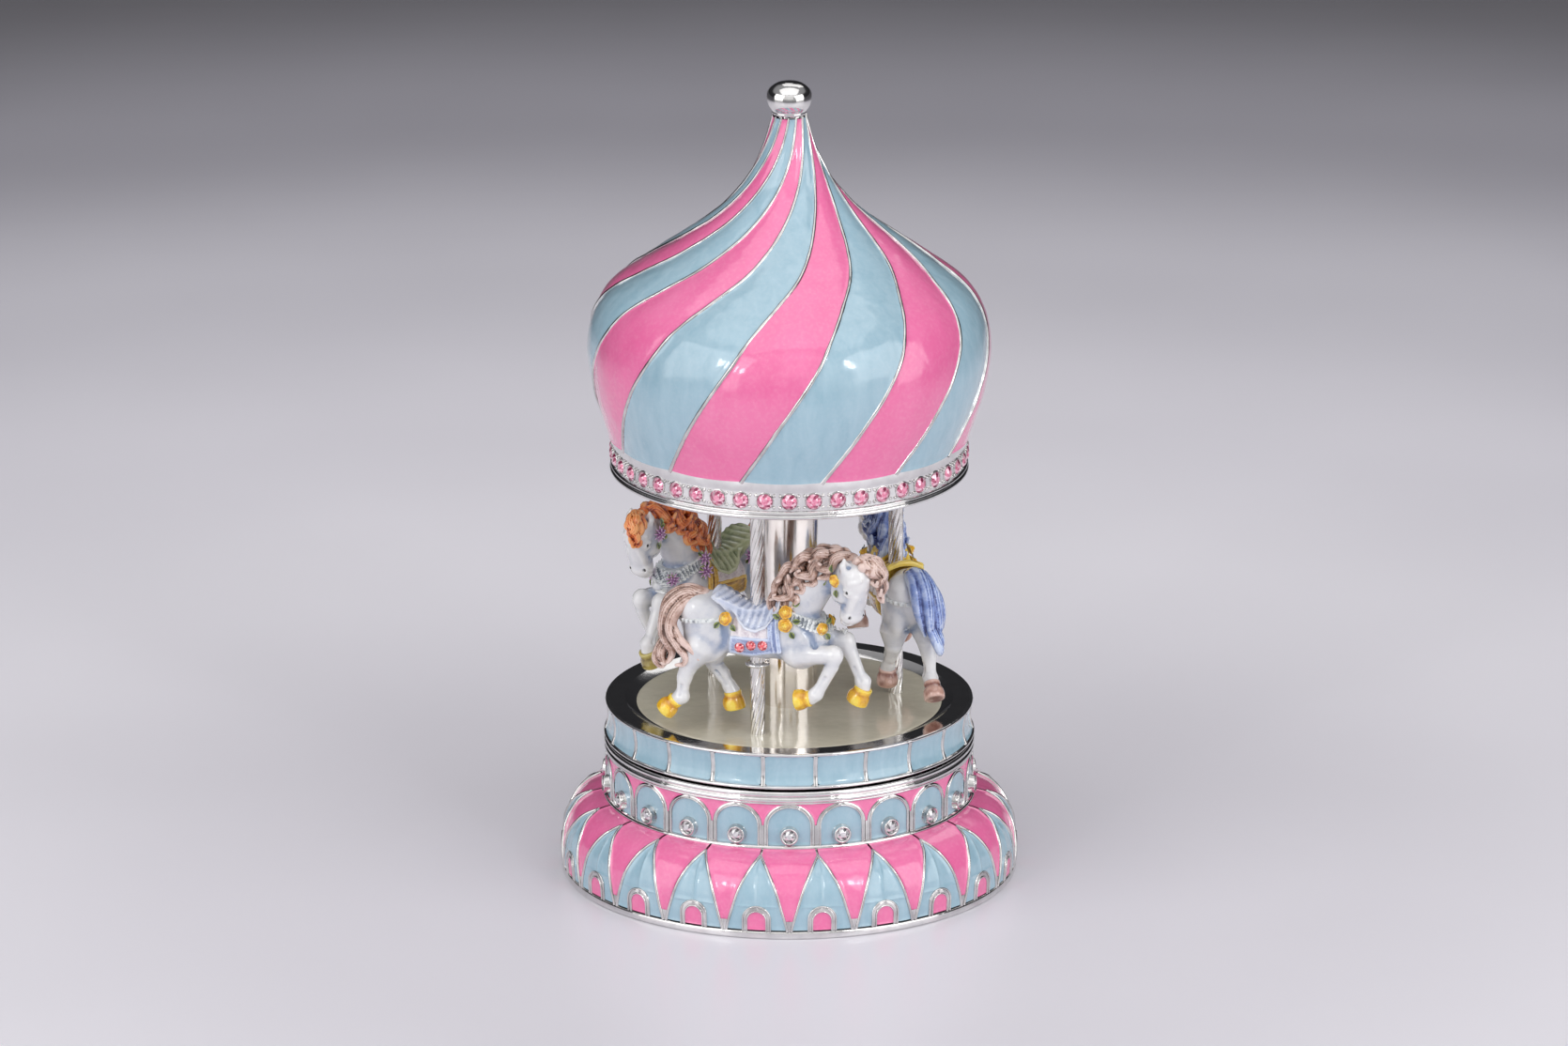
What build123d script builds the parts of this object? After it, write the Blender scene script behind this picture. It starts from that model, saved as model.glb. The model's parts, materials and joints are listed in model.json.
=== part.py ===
"""Wind-up carousel music box: a flared enamelled base with a musical movement inside, and a
turntable with three horses on twisted poles under an onion dome, which turns as the music plays.

Millimetres, +Z up, origin at the centre of the face that the base stands on. The front is -Y.
"""

from build123d import *
import os
from math import cos, pi, radians, sin, tan

os.makedirs("parts", exist_ok=True)

# ---------------------------------------------------------------- driving dimensions
FOOT_R = 44.0            # widest radius, at the foot of the base
WAIST_R = 35.4           # upright arcaded band of the base
WAIST_BOTTOM = 15.6
WAIST_TOP = 24.4
SEAT_TOP = 26.8          # top of the double bead that the turntable turns on
BAND_BOTTOM = 27.2       # turntable's lower lip, a running gap above the bead
BAND_TOP = 34.2
BAND_R = 35.5
FLOOR_TOP = 33.4
FLOOR_R = 31.0
COLUMN_R = 5.5
POLE_R = 1.45
POLE_CIRCLE_R = 21.1
POLE_ANGLES = (-106.6, 13.4, 133.4)   # front, right and left pole, from +X
CORNICE_BOTTOM = 80.4
CORNICE_R = 34.4
DOME_BOTTOM = 87.4
NECK_TOP = 150.6
TOTAL_HEIGHT = 156.8

RUN = 0.05               # radial clearance of a running fit
WALL = 1.6               # casting walls of the base

# ornament
ARCADE_COUNT = 22
CORNICE_STONES = 46
CORNICE_STONE_R = 1.45
CORNICE_STONE_Z = 83.95
WAIST_STONE_R = 1.3
WAIST_STONE_Z = 17.9
COLLET_R = 1.8
COLLET_PROUD = 1.1

# base and movement levels
PLATE_BOTTOM = 5.4       # bottom plate, recessed so that the key hangs clear of the table
PLATE_TOP = 7.0
BEDPLATE_TOP = 8.6
BARREL_BOTTOM = 9.8
BARREL_TOP = 18.2
BARREL_R = 10.6
WHEEL_TOP = 19.4         # great wheel, on top of the barrel
SPINDLE_R = 2.5
SPINDLE_TOP = 31.6
ARBOR_R = 1.5

# gear train
GEAR_MODULE = 0.3
GREAT_MODULE = 0.6
WORM_MODULE = 0.5
TOOTH_SHARE = 0.36       # tooth thickness over pitch, less than half for backlash
ADDENDUM = 0.8           # in modules
DEDENDUM = 1.05
FLANK = tan(radians(20))
GREAT_TEETH = 40
CYLINDER_PINION_TEETH = 10
CYLINDER_WHEEL_TEETH = 44
GOVERNOR_PINION_TEETH = 12
WORM_WHEEL_TEETH = 10
GREAT_R = GREAT_MODULE * GREAT_TEETH / 2
CYLINDER_PINION_R = GREAT_MODULE * CYLINDER_PINION_TEETH / 2
CROWN_ROOT_Z = BARREL_TOP
CYLINDER_Z = CROWN_ROOT_Z - 0.7 - CYLINDER_PINION_R      # axis of the pinned cylinder
GOVERNOR_Y = -GEAR_MODULE * (CYLINDER_WHEEL_TEETH + GOVERNOR_PINION_TEETH) / 2 - RUN
WORM_WHEEL_R = WORM_MODULE * WORM_WHEEL_TEETH / 2
WORM_R = 1.4
WORM_LEAD = pi * WORM_MODULE
WORM_X = 22.5
WORM_Y = GOVERNOR_Y - WORM_WHEEL_R - WORM_R

# pinned cylinder and comb
CYLINDER_R = 4.6
PIN_PROUD = 0.4
PIN_R = 0.16
CYLINDER_X0 = 15.2
CYLINDER_X1 = 26.8
NOTES = 18
NOTE_PITCH = 0.62
COMB_THICK = 0.8


def save(piece, label):
    """Labels a finished piece and writes its STEP."""
    piece.part.label = label
    export_step(piece.part, f"parts/{label}.step")


def turn_about_z(points):
    """Revolves a closed outline of (radius, height) points about Z, in the open part."""
    with BuildSketch(Plane.XZ) as outline:
        with BuildLine():
            Polyline(*points, close=True)
        make_face()
    revolve(outline.sketch, axis=Axis.Z)


def draw_gear(teeth, module, start_angle):
    """Draws a spur gear in the open sketch: a root disc and straight-flanked teeth."""
    pitch_r = module * teeth / 2
    root_r = pitch_r - DEDENDUM * module
    tip_r = pitch_r + ADDENDUM * module
    half = TOOTH_SHARE * pi * module / 2
    half_root = half + (pitch_r - root_r) * FLANK
    half_tip = half - (tip_r - pitch_r) * FLANK
    Circle(root_r)
    with PolarLocations(0, teeth, start_angle=start_angle):
        Polygon(
            (root_r * 0.9, -half_root), (tip_r, -half_tip), (tip_r, half_tip), (root_r * 0.9, half_root),
            align=None,
        )


def brilliant(radius):
    """A round stone cut as a brilliant, with its table towards +X and its girdle at x = 0."""
    with BuildPart() as stone:
        with BuildSketch(Plane.XY):
            with BuildLine():
                Polyline(
                    (-0.75 * radius, 0), (0, radius), (0.12 * radius, radius),
                    (0.42 * radius, 0.55 * radius), (0.42 * radius, 0), close=True,
                )
            make_face()
        revolve(axis=Axis.X)
    return stone.part


# ================================================================ base
FOOT_CURVE = (
    (FOOT_R, 1.4), (43.95, 5.0), (43.3, 9.3), (41.2, 12.9), (38.3, 14.8), (WAIST_R, WAIST_BOTTOM),
)
SHELL_INNER_R = WAIST_R - WALL
FOOT_INNER_R = FOOT_R - 2.2
LEDGE_R = 38.4
LEDGE_TOP = 8.6
PLATE_SCREW_CIRCLE_R = 40.1
PLATE_SCREW_START = 30     # angle of the first of three screws

with BuildPart() as base_shell:
    with BuildSketch(Plane.XZ):
        with BuildLine():
            Line((FOOT_INNER_R, 0), (FOOT_R - 0.4, 0))
            Line((FOOT_R - 0.4, 0), (FOOT_R, 0.4))
            Line((FOOT_R, 0.4), FOOT_CURVE[0])
            Spline(*FOOT_CURVE)
            Polyline(
                (WAIST_R, WAIST_BOTTOM), (WAIST_R, WAIST_TOP), (SHELL_INNER_R, WAIST_TOP),
                (SHELL_INNER_R, 14.0), (38.6, 12.4), (40.6, 10.6), (41.2, LEDGE_TOP),
                (LEDGE_R, LEDGE_TOP), (LEDGE_R, PLATE_TOP), (FOOT_INNER_R, PLATE_TOP),
                (FOOT_INNER_R, 0),
            )
        make_face()
    revolve(axis=Axis.Z)
    with PolarLocations(WAIST_R - 0.6, ARCADE_COUNT, start_angle=-90):
        with Locations(Location((0, 0, WAIST_STONE_Z), (0, 90, 0))):
            Cylinder(COLLET_R, 2, align=(Align.CENTER, Align.CENTER, Align.MIN), mode=Mode.SUBTRACT)
    with Locations((0, 0, PLATE_TOP)):
        with PolarLocations(PLATE_SCREW_CIRCLE_R, 3, start_angle=PLATE_SCREW_START):
            Hole(0.8, depth=LEDGE_TOP - PLATE_TOP + 1)
save(base_shell, "base_shell")

BOSS_R = 4.0
with BuildPart() as top_cover:
    with BuildSketch(Plane.XZ):
        with BuildLine():
            Polyline(
                (BOSS_R, 22.6), (6.0, 22.6), (6.0, WAIST_TOP), (32.2, WAIST_TOP), (32.2, 23.2),
                (SHELL_INNER_R, 23.2), (SHELL_INNER_R, WAIST_TOP), (35.2, WAIST_TOP),
            )
            ThreePointArc((35.2, WAIST_TOP), (35.8, 25.0), (35.2, 25.6))
            ThreePointArc((35.2, 25.6), (35.8, 26.2), (35.2, SEAT_TOP))
            Polyline(
                (35.2, SEAT_TOP), (33.0, SEAT_TOP), (33.0, 26.0), (BOSS_R, 26.0), (BOSS_R, 22.6),
            )
        make_face()
    revolve(axis=Axis.Z)
save(top_cover, "top_cover")

with BuildPart() as spindle_bush:
    turn_about_z([
        (SPINDLE_R + RUN, 22.0), (BOSS_R, 22.0), (BOSS_R, 26.0), (6.4, 26.0), (6.4, SEAT_TOP),
        (SPINDLE_R + RUN, SEAT_TOP),
    ])
save(spindle_bush, "spindle_bush")

with BuildPart() as waist_collets:
    with BuildPart(mode=Mode.PRIVATE) as collet:
        with BuildSketch(Plane.XY):
            with BuildLine():
                Polyline(
                    (0, 0), (0, COLLET_R), (COLLET_PROUD + 0.3, COLLET_R - 0.15),
                    (COLLET_PROUD + 0.6, WAIST_STONE_R + 0.05), (0.5, 0.4), (0.5, 0), close=True,
                )
            make_face()
        revolve(axis=Axis.X)
    with PolarLocations(WAIST_R - 0.6, ARCADE_COUNT, start_angle=-90):
        with Locations((0, 0, WAIST_STONE_Z)):
            add(collet.part)
save(waist_collets, "waist_collets")

waist_stone = brilliant(WAIST_STONE_R - 0.05)
with BuildPart() as waist_crystals:
    with PolarLocations(WAIST_R + 1.0, ARCADE_COUNT, start_angle=-90):
        with Locations((0, 0, WAIST_STONE_Z)):
            add(waist_stone)
save(waist_crystals, "waist_crystals")

BEDPLATE_SCREWS = ((-11.0, -15.0), (-11.0, 15.0), (24.0, -15.0))
with BuildPart() as bottom_plate:
    with BuildSketch(Plane.XY.offset(PLATE_BOTTOM)):
        Circle(FOOT_INNER_R - RUN)
        Circle(ARBOR_R + 0.1, mode=Mode.SUBTRACT)
        with PolarLocations(PLATE_SCREW_CIRCLE_R, 3, start_angle=PLATE_SCREW_START):
            Circle(0.9, mode=Mode.SUBTRACT)
        with Locations(*BEDPLATE_SCREWS):
            Circle(1.1, mode=Mode.SUBTRACT)
    extrude(amount=PLATE_TOP - PLATE_BOTTOM)
save(bottom_plate, "bottom_plate")


def add_screws(shank_r, head_r, head_height, length):
    """Adds slotted pan-head screws in the open part, head down at z = 0 and shank upwards."""
    Cylinder(head_r, head_height, align=(Align.CENTER, Align.CENTER, Align.MAX))
    Cylinder(shank_r, length, align=(Align.CENTER, Align.CENTER, Align.MIN))
    with Locations((0, 0, -head_height)):
        Box(2 * head_r, 0.3, 0.35, align=(Align.CENTER, Align.CENTER, Align.MIN), mode=Mode.SUBTRACT)


with BuildPart() as plate_screw:
    add_screws(0.8, 1.5, 0.8, LEDGE_TOP - PLATE_BOTTOM)
with BuildPart() as bottom_plate_screws:
    with Locations((0, 0, PLATE_BOTTOM)):
        with PolarLocations(PLATE_SCREW_CIRCLE_R, 3, start_angle=PLATE_SCREW_START):
            add(plate_screw.part)
save(bottom_plate_screws, "bottom_plate_screws")

with BuildPart() as bedplate_screw:
    add_screws(1.0, 1.8, 0.9, BEDPLATE_TOP - PLATE_BOTTOM)
with BuildPart() as movement_screws:
    with Locations(*((x, y, PLATE_BOTTOM) for x, y in BEDPLATE_SCREWS)):
        add(bedplate_screw.part)
save(movement_screws, "movement_screws")

# ================================================================ movement, fixed parts
BEDPLATE_X1 = 28.3
with BuildPart() as bedplate:
    with BuildSketch(Plane.XY.offset(PLATE_TOP)):
        with Locations(((BEDPLATE_X1 - 14.0) / 2, 0)):
            RectangleRounded(BEDPLATE_X1 + 14.0, 38.0, 3.0)
        Circle(ARBOR_R + RUN, mode=Mode.SUBTRACT)
        with Locations(*BEDPLATE_SCREWS):
            Circle(1.0, mode=Mode.SUBTRACT)
    extrude(amount=BEDPLATE_TOP - PLATE_TOP)
save(bedplate, "bedplate")

CYLINDER_ARBOR_R = 0.8
with BuildPart() as inner_bracket:
    with BuildSketch(Plane.YZ.offset(13.5)):
        with Locations((0, BEDPLATE_TOP)):
            Rectangle(5.0, CYLINDER_Z - BEDPLATE_TOP + 1.6, align=(Align.CENTER, Align.MIN))
        with Locations((0, CYLINDER_Z)):
            Circle(CYLINDER_ARBOR_R + RUN, mode=Mode.SUBTRACT)
    extrude(amount=1.0)
save(inner_bracket, "inner_bracket")

GOVERNOR_ARBOR_R = 0.6
with BuildPart() as outer_bracket:
    with BuildSketch(Plane.YZ.offset(27.2)):
        with Locations((-4.0, BEDPLATE_TOP)):
            Rectangle(14.0, CYLINDER_Z - BEDPLATE_TOP + 1.6, align=(Align.CENTER, Align.MIN))
        with Locations((0, CYLINDER_Z)):
            Circle(CYLINDER_ARBOR_R + RUN, mode=Mode.SUBTRACT)
        with Locations((GOVERNOR_Y, CYLINDER_Z)):
            Circle(GOVERNOR_ARBOR_R + RUN, mode=Mode.SUBTRACT)
    extrude(amount=1.0)
save(outer_bracket, "outer_bracket")

FAN_R = 3.6
COCK_Z = 22.2
COCK_THICK = 0.8
COCK_WALL_Y = WORM_Y - FAN_R - 0.6
with BuildPart() as governor_frame:
    with Locations((WORM_X, COCK_WALL_Y, BEDPLATE_TOP)):
        Box(6.0, 1.0, COCK_Z + COCK_THICK - BEDPLATE_TOP, align=(Align.CENTER, Align.MAX, Align.MIN))
    with Locations((WORM_X, COCK_WALL_Y - 0.5, COCK_Z)):
        Box(3.0, WORM_Y - COCK_WALL_Y + 2.0, COCK_THICK, align=(Align.CENTER, Align.MIN, Align.MIN))
    with Locations((WORM_X, WORM_Y, COCK_Z)):
        Cylinder(0.5 + RUN, 4, mode=Mode.SUBTRACT)
save(governor_frame, "governor_frame")

POST_X = 19.6
with BuildPart() as governor_post:
    with BuildSketch(Plane.YZ.offset(POST_X)):
        with Locations((GOVERNOR_Y, BEDPLATE_TOP)):
            Rectangle(3.0, CYLINDER_Z - BEDPLATE_TOP + 1.5, align=(Align.CENTER, Align.MIN))
        with Locations((GOVERNOR_Y, CYLINDER_Z)):
            Circle(GOVERNOR_ARBOR_R + RUN, mode=Mode.SUBTRACT)
    extrude(amount=1.0)
save(governor_post, "governor_post")

with BuildPart() as worm_footstep:
    with Locations((WORM_X, WORM_Y, BEDPLATE_TOP)):
        Cylinder(1.6, 0.8, align=(Align.CENTER, Align.CENTER, Align.MIN))
        Cylinder(0.5 + RUN, 3, mode=Mode.SUBTRACT)
    with Locations((WORM_X, WORM_Y, BEDPLATE_TOP)):
        Cylinder(1.0, 0.2, align=(Align.CENTER, Align.CENTER, Align.MIN))
save(worm_footstep, "worm_footstep")

COMB_Z = CYLINDER_Z - COMB_THICK / 2
COMB_TIP_Y = CYLINDER_R + PIN_PROUD + 0.1
COMB_ROOT_Y = 12.8
COMB_HEEL_Y = 18.6
COMB_MID_X = (CYLINDER_X0 + CYLINDER_X1) / 2
COMB_WIDTH = NOTES * NOTE_PITCH
COMB_SCREW_XS = (COMB_MID_X - 4.0, COMB_MID_X, COMB_MID_X + 4.0)
COMB_SCREW_Y = 15.8
with BuildPart() as comb:
    with BuildSketch(Plane.XY.offset(COMB_Z)):
        with Locations((COMB_MID_X, COMB_ROOT_Y)):
            Rectangle(COMB_WIDTH + 0.6, COMB_HEEL_Y - COMB_ROOT_Y, align=(Align.CENTER, Align.MIN))
        with Locations((COMB_MID_X, (COMB_TIP_Y + COMB_ROOT_Y) / 2)):
            with GridLocations(NOTE_PITCH, 1, NOTES, 1):
                Rectangle(NOTE_PITCH - 0.14, COMB_ROOT_Y - COMB_TIP_Y)
        with Locations(*((x, COMB_SCREW_Y) for x in COMB_SCREW_XS)):
            Circle(0.75, mode=Mode.SUBTRACT)
    extrude(amount=COMB_THICK)
save(comb, "comb")

with BuildPart() as comb_block:
    with Locations((COMB_MID_X, COMB_ROOT_Y + 0.4, BEDPLATE_TOP)):
        Box(COMB_WIDTH + 0.6, COMB_HEEL_Y - COMB_ROOT_Y - 0.4, COMB_Z - BEDPLATE_TOP,
            align=(Align.CENTER, Align.MIN, Align.MIN))
    with Locations(*((x, COMB_SCREW_Y, COMB_Z) for x in COMB_SCREW_XS)):
        Hole(0.7, depth=3.0)
save(comb_block, "comb_block")

with BuildPart() as comb_screws:
    with Locations(*((x, COMB_SCREW_Y, COMB_Z + COMB_THICK) for x in COMB_SCREW_XS)):
        Cylinder(1.3, 0.8, align=(Align.CENTER, Align.CENTER, Align.MIN))
        Cylinder(0.7, COMB_THICK + 2.6, align=(Align.CENTER, Align.CENTER, Align.MAX))
    with Locations(*((x, COMB_SCREW_Y, COMB_Z + COMB_THICK + 0.8) for x in COMB_SCREW_XS)):
        Box(2.8, 0.3, 0.6, mode=Mode.SUBTRACT)
save(comb_screws, "comb_screws")

RATCHET_TEETH = 12
RATCHET_TIP_R = 4.0
RATCHET_ROOT_R = 3.3
RATCHET_Z = 8.75
RATCHET_THICK = 0.8
with BuildPart() as ratchet_click:
    with BuildSketch(Plane.XY.offset(BEDPLATE_TOP)):
        with BuildLine():
            Polyline(
                (-RATCHET_TIP_R - 0.05, 0.6), (-RATCHET_TIP_R - 0.5, -0.3), (-6.4, 3.4), (-9.6, 6.4),
                (-8.6, 7.6), (-5.6, 4.8), close=True,
            )
        make_face()
    extrude(amount=RATCHET_THICK)
save(ratchet_click, "ratchet_click")

# ================================================================ winding key
KEY_BOTTOM = 0.8
with BuildPart() as winding_key:
    with BuildSketch(Plane.XY.offset(KEY_BOTTOM)):
        SlotOverall(21.0, 7.0)
        with Locations((-6.2, 0), (6.2, 0)):
            Circle(1.7, mode=Mode.SUBTRACT)
    extrude(amount=1.8)
    with Locations((0, 0, KEY_BOTTOM)):
        Cylinder(2.6, PLATE_BOTTOM - 0.4 - KEY_BOTTOM, align=(Align.CENTER, Align.CENTER, Align.MIN))
    with Locations((0, 0, KEY_BOTTOM + 0.8)):
        Cylinder(ARBOR_R, 9, align=(Align.CENTER, Align.CENTER, Align.MIN), mode=Mode.SUBTRACT)
save(winding_key, "winding_key")

with BuildPart() as winding_arbor:
    with Locations((0, 0, KEY_BOTTOM + 0.8)):
        Cylinder(ARBOR_R, BARREL_TOP - 0.2 - KEY_BOTTOM - 0.8,
                 align=(Align.CENTER, Align.CENTER, Align.MIN))
save(winding_arbor, "winding_arbor")

with BuildPart() as ratchet_wheel:
    with BuildSketch(Plane.XY.offset(RATCHET_Z)):
        Circle(RATCHET_ROOT_R)
        with PolarLocations(0, RATCHET_TEETH):
            Polygon((RATCHET_ROOT_R - 0.6, -0.9), (RATCHET_TIP_R, 0.0), (RATCHET_ROOT_R - 0.6, 0.3),
                    align=None)
        Circle(ARBOR_R, mode=Mode.SUBTRACT)
    extrude(amount=RATCHET_THICK)
save(ratchet_wheel, "ratchet_wheel")

# ================================================================ great wheel, barrel and spindle
BARREL_WALL = 0.6
with BuildPart() as barrel:
    turn_about_z([
        (BARREL_R - BARREL_WALL, BARREL_BOTTOM), (BARREL_R, BARREL_BOTTOM), (BARREL_R, BARREL_TOP),
        (BARREL_R - BARREL_WALL, BARREL_TOP),
    ])
save(barrel, "barrel")

with BuildPart() as barrel_cover:
    turn_about_z([
        (ARBOR_R + RUN, BARREL_BOTTOM), (BARREL_R - BARREL_WALL, BARREL_BOTTOM),
        (BARREL_R - BARREL_WALL, BARREL_BOTTOM + 0.6), (ARBOR_R + RUN, BARREL_BOTTOM + 0.6),
    ])
save(barrel_cover, "barrel_cover")

CROWN_FACE = 1.5
CROWN_HALF = TOOTH_SHARE * pi * GREAT_MODULE / 2
with BuildPart() as great_wheel:
    turn_about_z([
        (0, BARREL_TOP + 0.2), (ARBOR_R + 2.2, BARREL_TOP + 0.2), (ARBOR_R + 2.2, BARREL_TOP),
        (GREAT_R + CROWN_FACE / 2, BARREL_TOP), (GREAT_R + CROWN_FACE / 2, WHEEL_TOP), (0, WHEEL_TOP),
    ])
    with BuildPart(mode=Mode.PRIVATE) as crown_tooth:
        with BuildSketch(Plane.YZ):
            Polygon(
                (-CROWN_HALF - 0.7 * FLANK, 0.2), (-CROWN_HALF + ADDENDUM * GREAT_MODULE * FLANK, -1.18),
                (CROWN_HALF - ADDENDUM * GREAT_MODULE * FLANK, -1.18), (CROWN_HALF + 0.7 * FLANK, 0.2),
                align=None,
            )
        extrude(amount=CROWN_FACE - 0.02)
    with PolarLocations(GREAT_R - CROWN_FACE / 2, GREAT_TEETH, start_angle=180 / GREAT_TEETH):
        with Locations((0, 0, CROWN_ROOT_Z)):
            add(crown_tooth.part)
save(great_wheel, "great_wheel")

SPRING_TURNS = 5
SPRING_THICK = 0.35
SPRING_R0 = 3.4
SPRING_R1 = 9.4
with BuildPart() as mainspring:
    with BuildSketch(Plane.XY.offset(BARREL_BOTTOM + 1.1)):
        with BuildLine():
            steps = 12 * SPRING_TURNS
            turns = [
                (SPRING_R0 + (SPRING_R1 - SPRING_R0) * i / steps, radians(30 * i))
                for i in range(steps + 1)
            ]
            inner = Spline(*[(r * cos(a), r * sin(a)) for r, a in turns])
            outer = Spline(*[((r + SPRING_THICK) * cos(a), (r + SPRING_THICK) * sin(a)) for r, a in turns])
            Line(inner @ 0, outer @ 0)
            Line(inner @ 1, outer @ 1)
        make_face()
    extrude(amount=BARREL_TOP - BARREL_BOTTOM - 1.8)
save(mainspring, "mainspring")

with BuildPart() as spindle:
    with Locations((0, 0, WHEEL_TOP)):
        Cylinder(SPINDLE_R, SPINDLE_TOP - WHEEL_TOP, align=(Align.CENTER, Align.CENTER, Align.MIN))
save(spindle, "spindle")

# ================================================================ pinned cylinder and governor
with BuildPart() as pinned_cylinder:
    with BuildSketch(Plane.YZ.offset(CYLINDER_X0)):
        with Locations((0, CYLINDER_Z)):
            Circle(CYLINDER_R)
            Circle(CYLINDER_ARBOR_R, mode=Mode.SUBTRACT)
    extrude(amount=CYLINDER_X1 - CYLINDER_X0)
    for note in range(NOTES):
        pin_x = COMB_MID_X + (note - (NOTES - 1) / 2) * NOTE_PITCH
        for angle in (15 + note * 47 % 360, 140 + note * 83 % 360, 260 + note * 31 % 360):
            way = (0, cos(radians(angle)), sin(radians(angle)))
            foot = (pin_x, (CYLINDER_R - 0.3) * way[1], CYLINDER_Z + (CYLINDER_R - 0.3) * way[2])
            with BuildSketch(Plane(origin=foot, x_dir=(1, 0, 0), z_dir=way)):
                Circle(PIN_R)
            extrude(amount=PIN_PROUD + 0.3)
save(pinned_cylinder, "pinned_cylinder")

with BuildPart() as cylinder_arbor:
    with Locations(Location((11.1, 0, CYLINDER_Z), (0, 90, 0))):
        Cylinder(CYLINDER_ARBOR_R, 18.9, align=(Align.CENTER, Align.CENTER, Align.MIN))
save(cylinder_arbor, "cylinder_arbor")


def gear_on_arbor(x, width, teeth, module, start_angle, y, arbor_r):
    """Builds a spur gear with its bore on an arbor along X at height CYLINDER_Z."""
    with BuildPart() as gear:
        with BuildSketch(Plane(origin=(x, y, CYLINDER_Z), x_dir=(0, 1, 0), z_dir=(1, 0, 0))):
            draw_gear(teeth, module, start_angle)
            Circle(arbor_r, mode=Mode.SUBTRACT)
        extrude(amount=width)
    return gear


WHEEL_X = 28.7
cylinder_pinion = gear_on_arbor(
    GREAT_R - 0.7, 1.4, CYLINDER_PINION_TEETH, GREAT_MODULE, 90, 0, CYLINDER_ARBOR_R)
save(cylinder_pinion, "cylinder_pinion")
cylinder_wheel = gear_on_arbor(
    WHEEL_X, 1.0, CYLINDER_WHEEL_TEETH, GEAR_MODULE, 180, 0, CYLINDER_ARBOR_R)
save(cylinder_wheel, "cylinder_wheel")

governor_pinion = gear_on_arbor(
    WHEEL_X, 1.0, GOVERNOR_PINION_TEETH, GEAR_MODULE, 180 / GOVERNOR_PINION_TEETH, GOVERNOR_Y,
    GOVERNOR_ARBOR_R)
save(governor_pinion, "governor_pinion")
worm_wheel = gear_on_arbor(
    WORM_X - 0.45, 0.9, WORM_WHEEL_TEETH, WORM_MODULE, 180, GOVERNOR_Y, GOVERNOR_ARBOR_R)
save(worm_wheel, "worm_wheel")
with BuildPart() as governor_arbor:
    with Locations(Location((POST_X, GOVERNOR_Y, CYLINDER_Z), (0, 90, 0))):
        Cylinder(GOVERNOR_ARBOR_R, WHEEL_X + 1.2 - POST_X, align=(Align.CENTER, Align.CENTER, Align.MIN))
save(governor_arbor, "governor_arbor")

THREAD_TURNS = 5
THREAD_Z0 = CYLINDER_Z + WORM_LEAD / 4 - 3 * WORM_LEAD
THREAD_HALF = 0.17 * WORM_LEAD
THREAD_ROOT = WORM_R - 0.5
THREAD_TIP = WORM_R + 0.4
with BuildPart() as governor_worm:
    with Locations((WORM_X, WORM_Y, BEDPLATE_TOP + 0.25)):
        Cylinder(0.5, COCK_Z + COCK_THICK - BEDPLATE_TOP - 0.25,
                 align=(Align.CENTER, Align.CENTER, Align.MIN))
    with Locations((WORM_X, WORM_Y, BEDPLATE_TOP + 1.0)):
        Cylinder(THREAD_ROOT, 9.8, align=(Align.CENTER, Align.CENTER, Align.MIN))
    with BuildLine(Plane(origin=(WORM_X, WORM_Y, THREAD_Z0))) as thread_path:
        Helix(WORM_LEAD, THREAD_TURNS * WORM_LEAD, WORM_R)
    with BuildSketch(Plane(origin=(WORM_X, WORM_Y, THREAD_Z0), x_dir=(1, 0, 0), z_dir=(0, -1, 0))):
        Polygon(
            (THREAD_ROOT - 0.1, -THREAD_HALF - 0.6 * FLANK), (THREAD_TIP, -THREAD_HALF + 0.4 * FLANK),
            (THREAD_TIP, THREAD_HALF - 0.4 * FLANK), (THREAD_ROOT - 0.1, THREAD_HALF + 0.6 * FLANK),
            align=None,
        )
    sweep(path=thread_path.line, is_frenet=True)
save(governor_worm, "governor_worm")

with BuildPart() as governor_fan:
    with Locations((WORM_X, WORM_Y, 19.8)):
        Cylinder(1.1, 1.6, align=(Align.CENTER, Align.CENTER, Align.MIN))
        with Locations((-FAN_R / 2 - 0.2, 0), (FAN_R / 2 + 0.2, 0)):
            Box(FAN_R - 0.4, 0.25, 1.6, align=(Align.CENTER, Align.CENTER, Align.MIN))
        Cylinder(0.5, 9, mode=Mode.SUBTRACT)
save(governor_fan, "governor_fan")

# ================================================================ turntable
CARRIER_BOTTOM = 30.4
CARRIER_TOP = 32.2
BAND_INNER_R = 33.9
with BuildPart() as turntable_band:
    with BuildSketch(Plane.XZ):
        with BuildLine():
            Polyline((BAND_INNER_R, BAND_BOTTOM), (35.8, BAND_BOTTOM), (35.8, 27.8))
            ThreePointArc((35.8, 27.8), (35.15, 30.6), (BAND_R, 33.7))
            Polyline(
                (BAND_R, 33.7), (BAND_R - 0.1, BAND_TOP), (31.5, BAND_TOP), (29.7, FLOOR_TOP),
                (FLOOR_R, FLOOR_TOP), (FLOOR_R, CARRIER_TOP), (BAND_INNER_R, CARRIER_TOP),
                (BAND_INNER_R, BAND_BOTTOM),
            )
        make_face()
    revolve(axis=Axis.Z)
save(turntable_band, "turntable_band")

POLE_SHANK_R = 1.0
HUB_NECK_R = 4.0
with BuildPart() as carrier_plate:
    with BuildSketch(Plane.XY.offset(CARRIER_BOTTOM)):
        Circle(BAND_INNER_R - RUN)
        Circle(HUB_NECK_R, mode=Mode.SUBTRACT)
        for angle in POLE_ANGLES:
            with PolarLocations(POLE_CIRCLE_R, 1, start_angle=angle):
                Circle(POLE_SHANK_R, mode=Mode.SUBTRACT)
    extrude(amount=CARRIER_TOP - CARRIER_BOTTOM)
save(carrier_plate, "carrier_plate")

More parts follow.
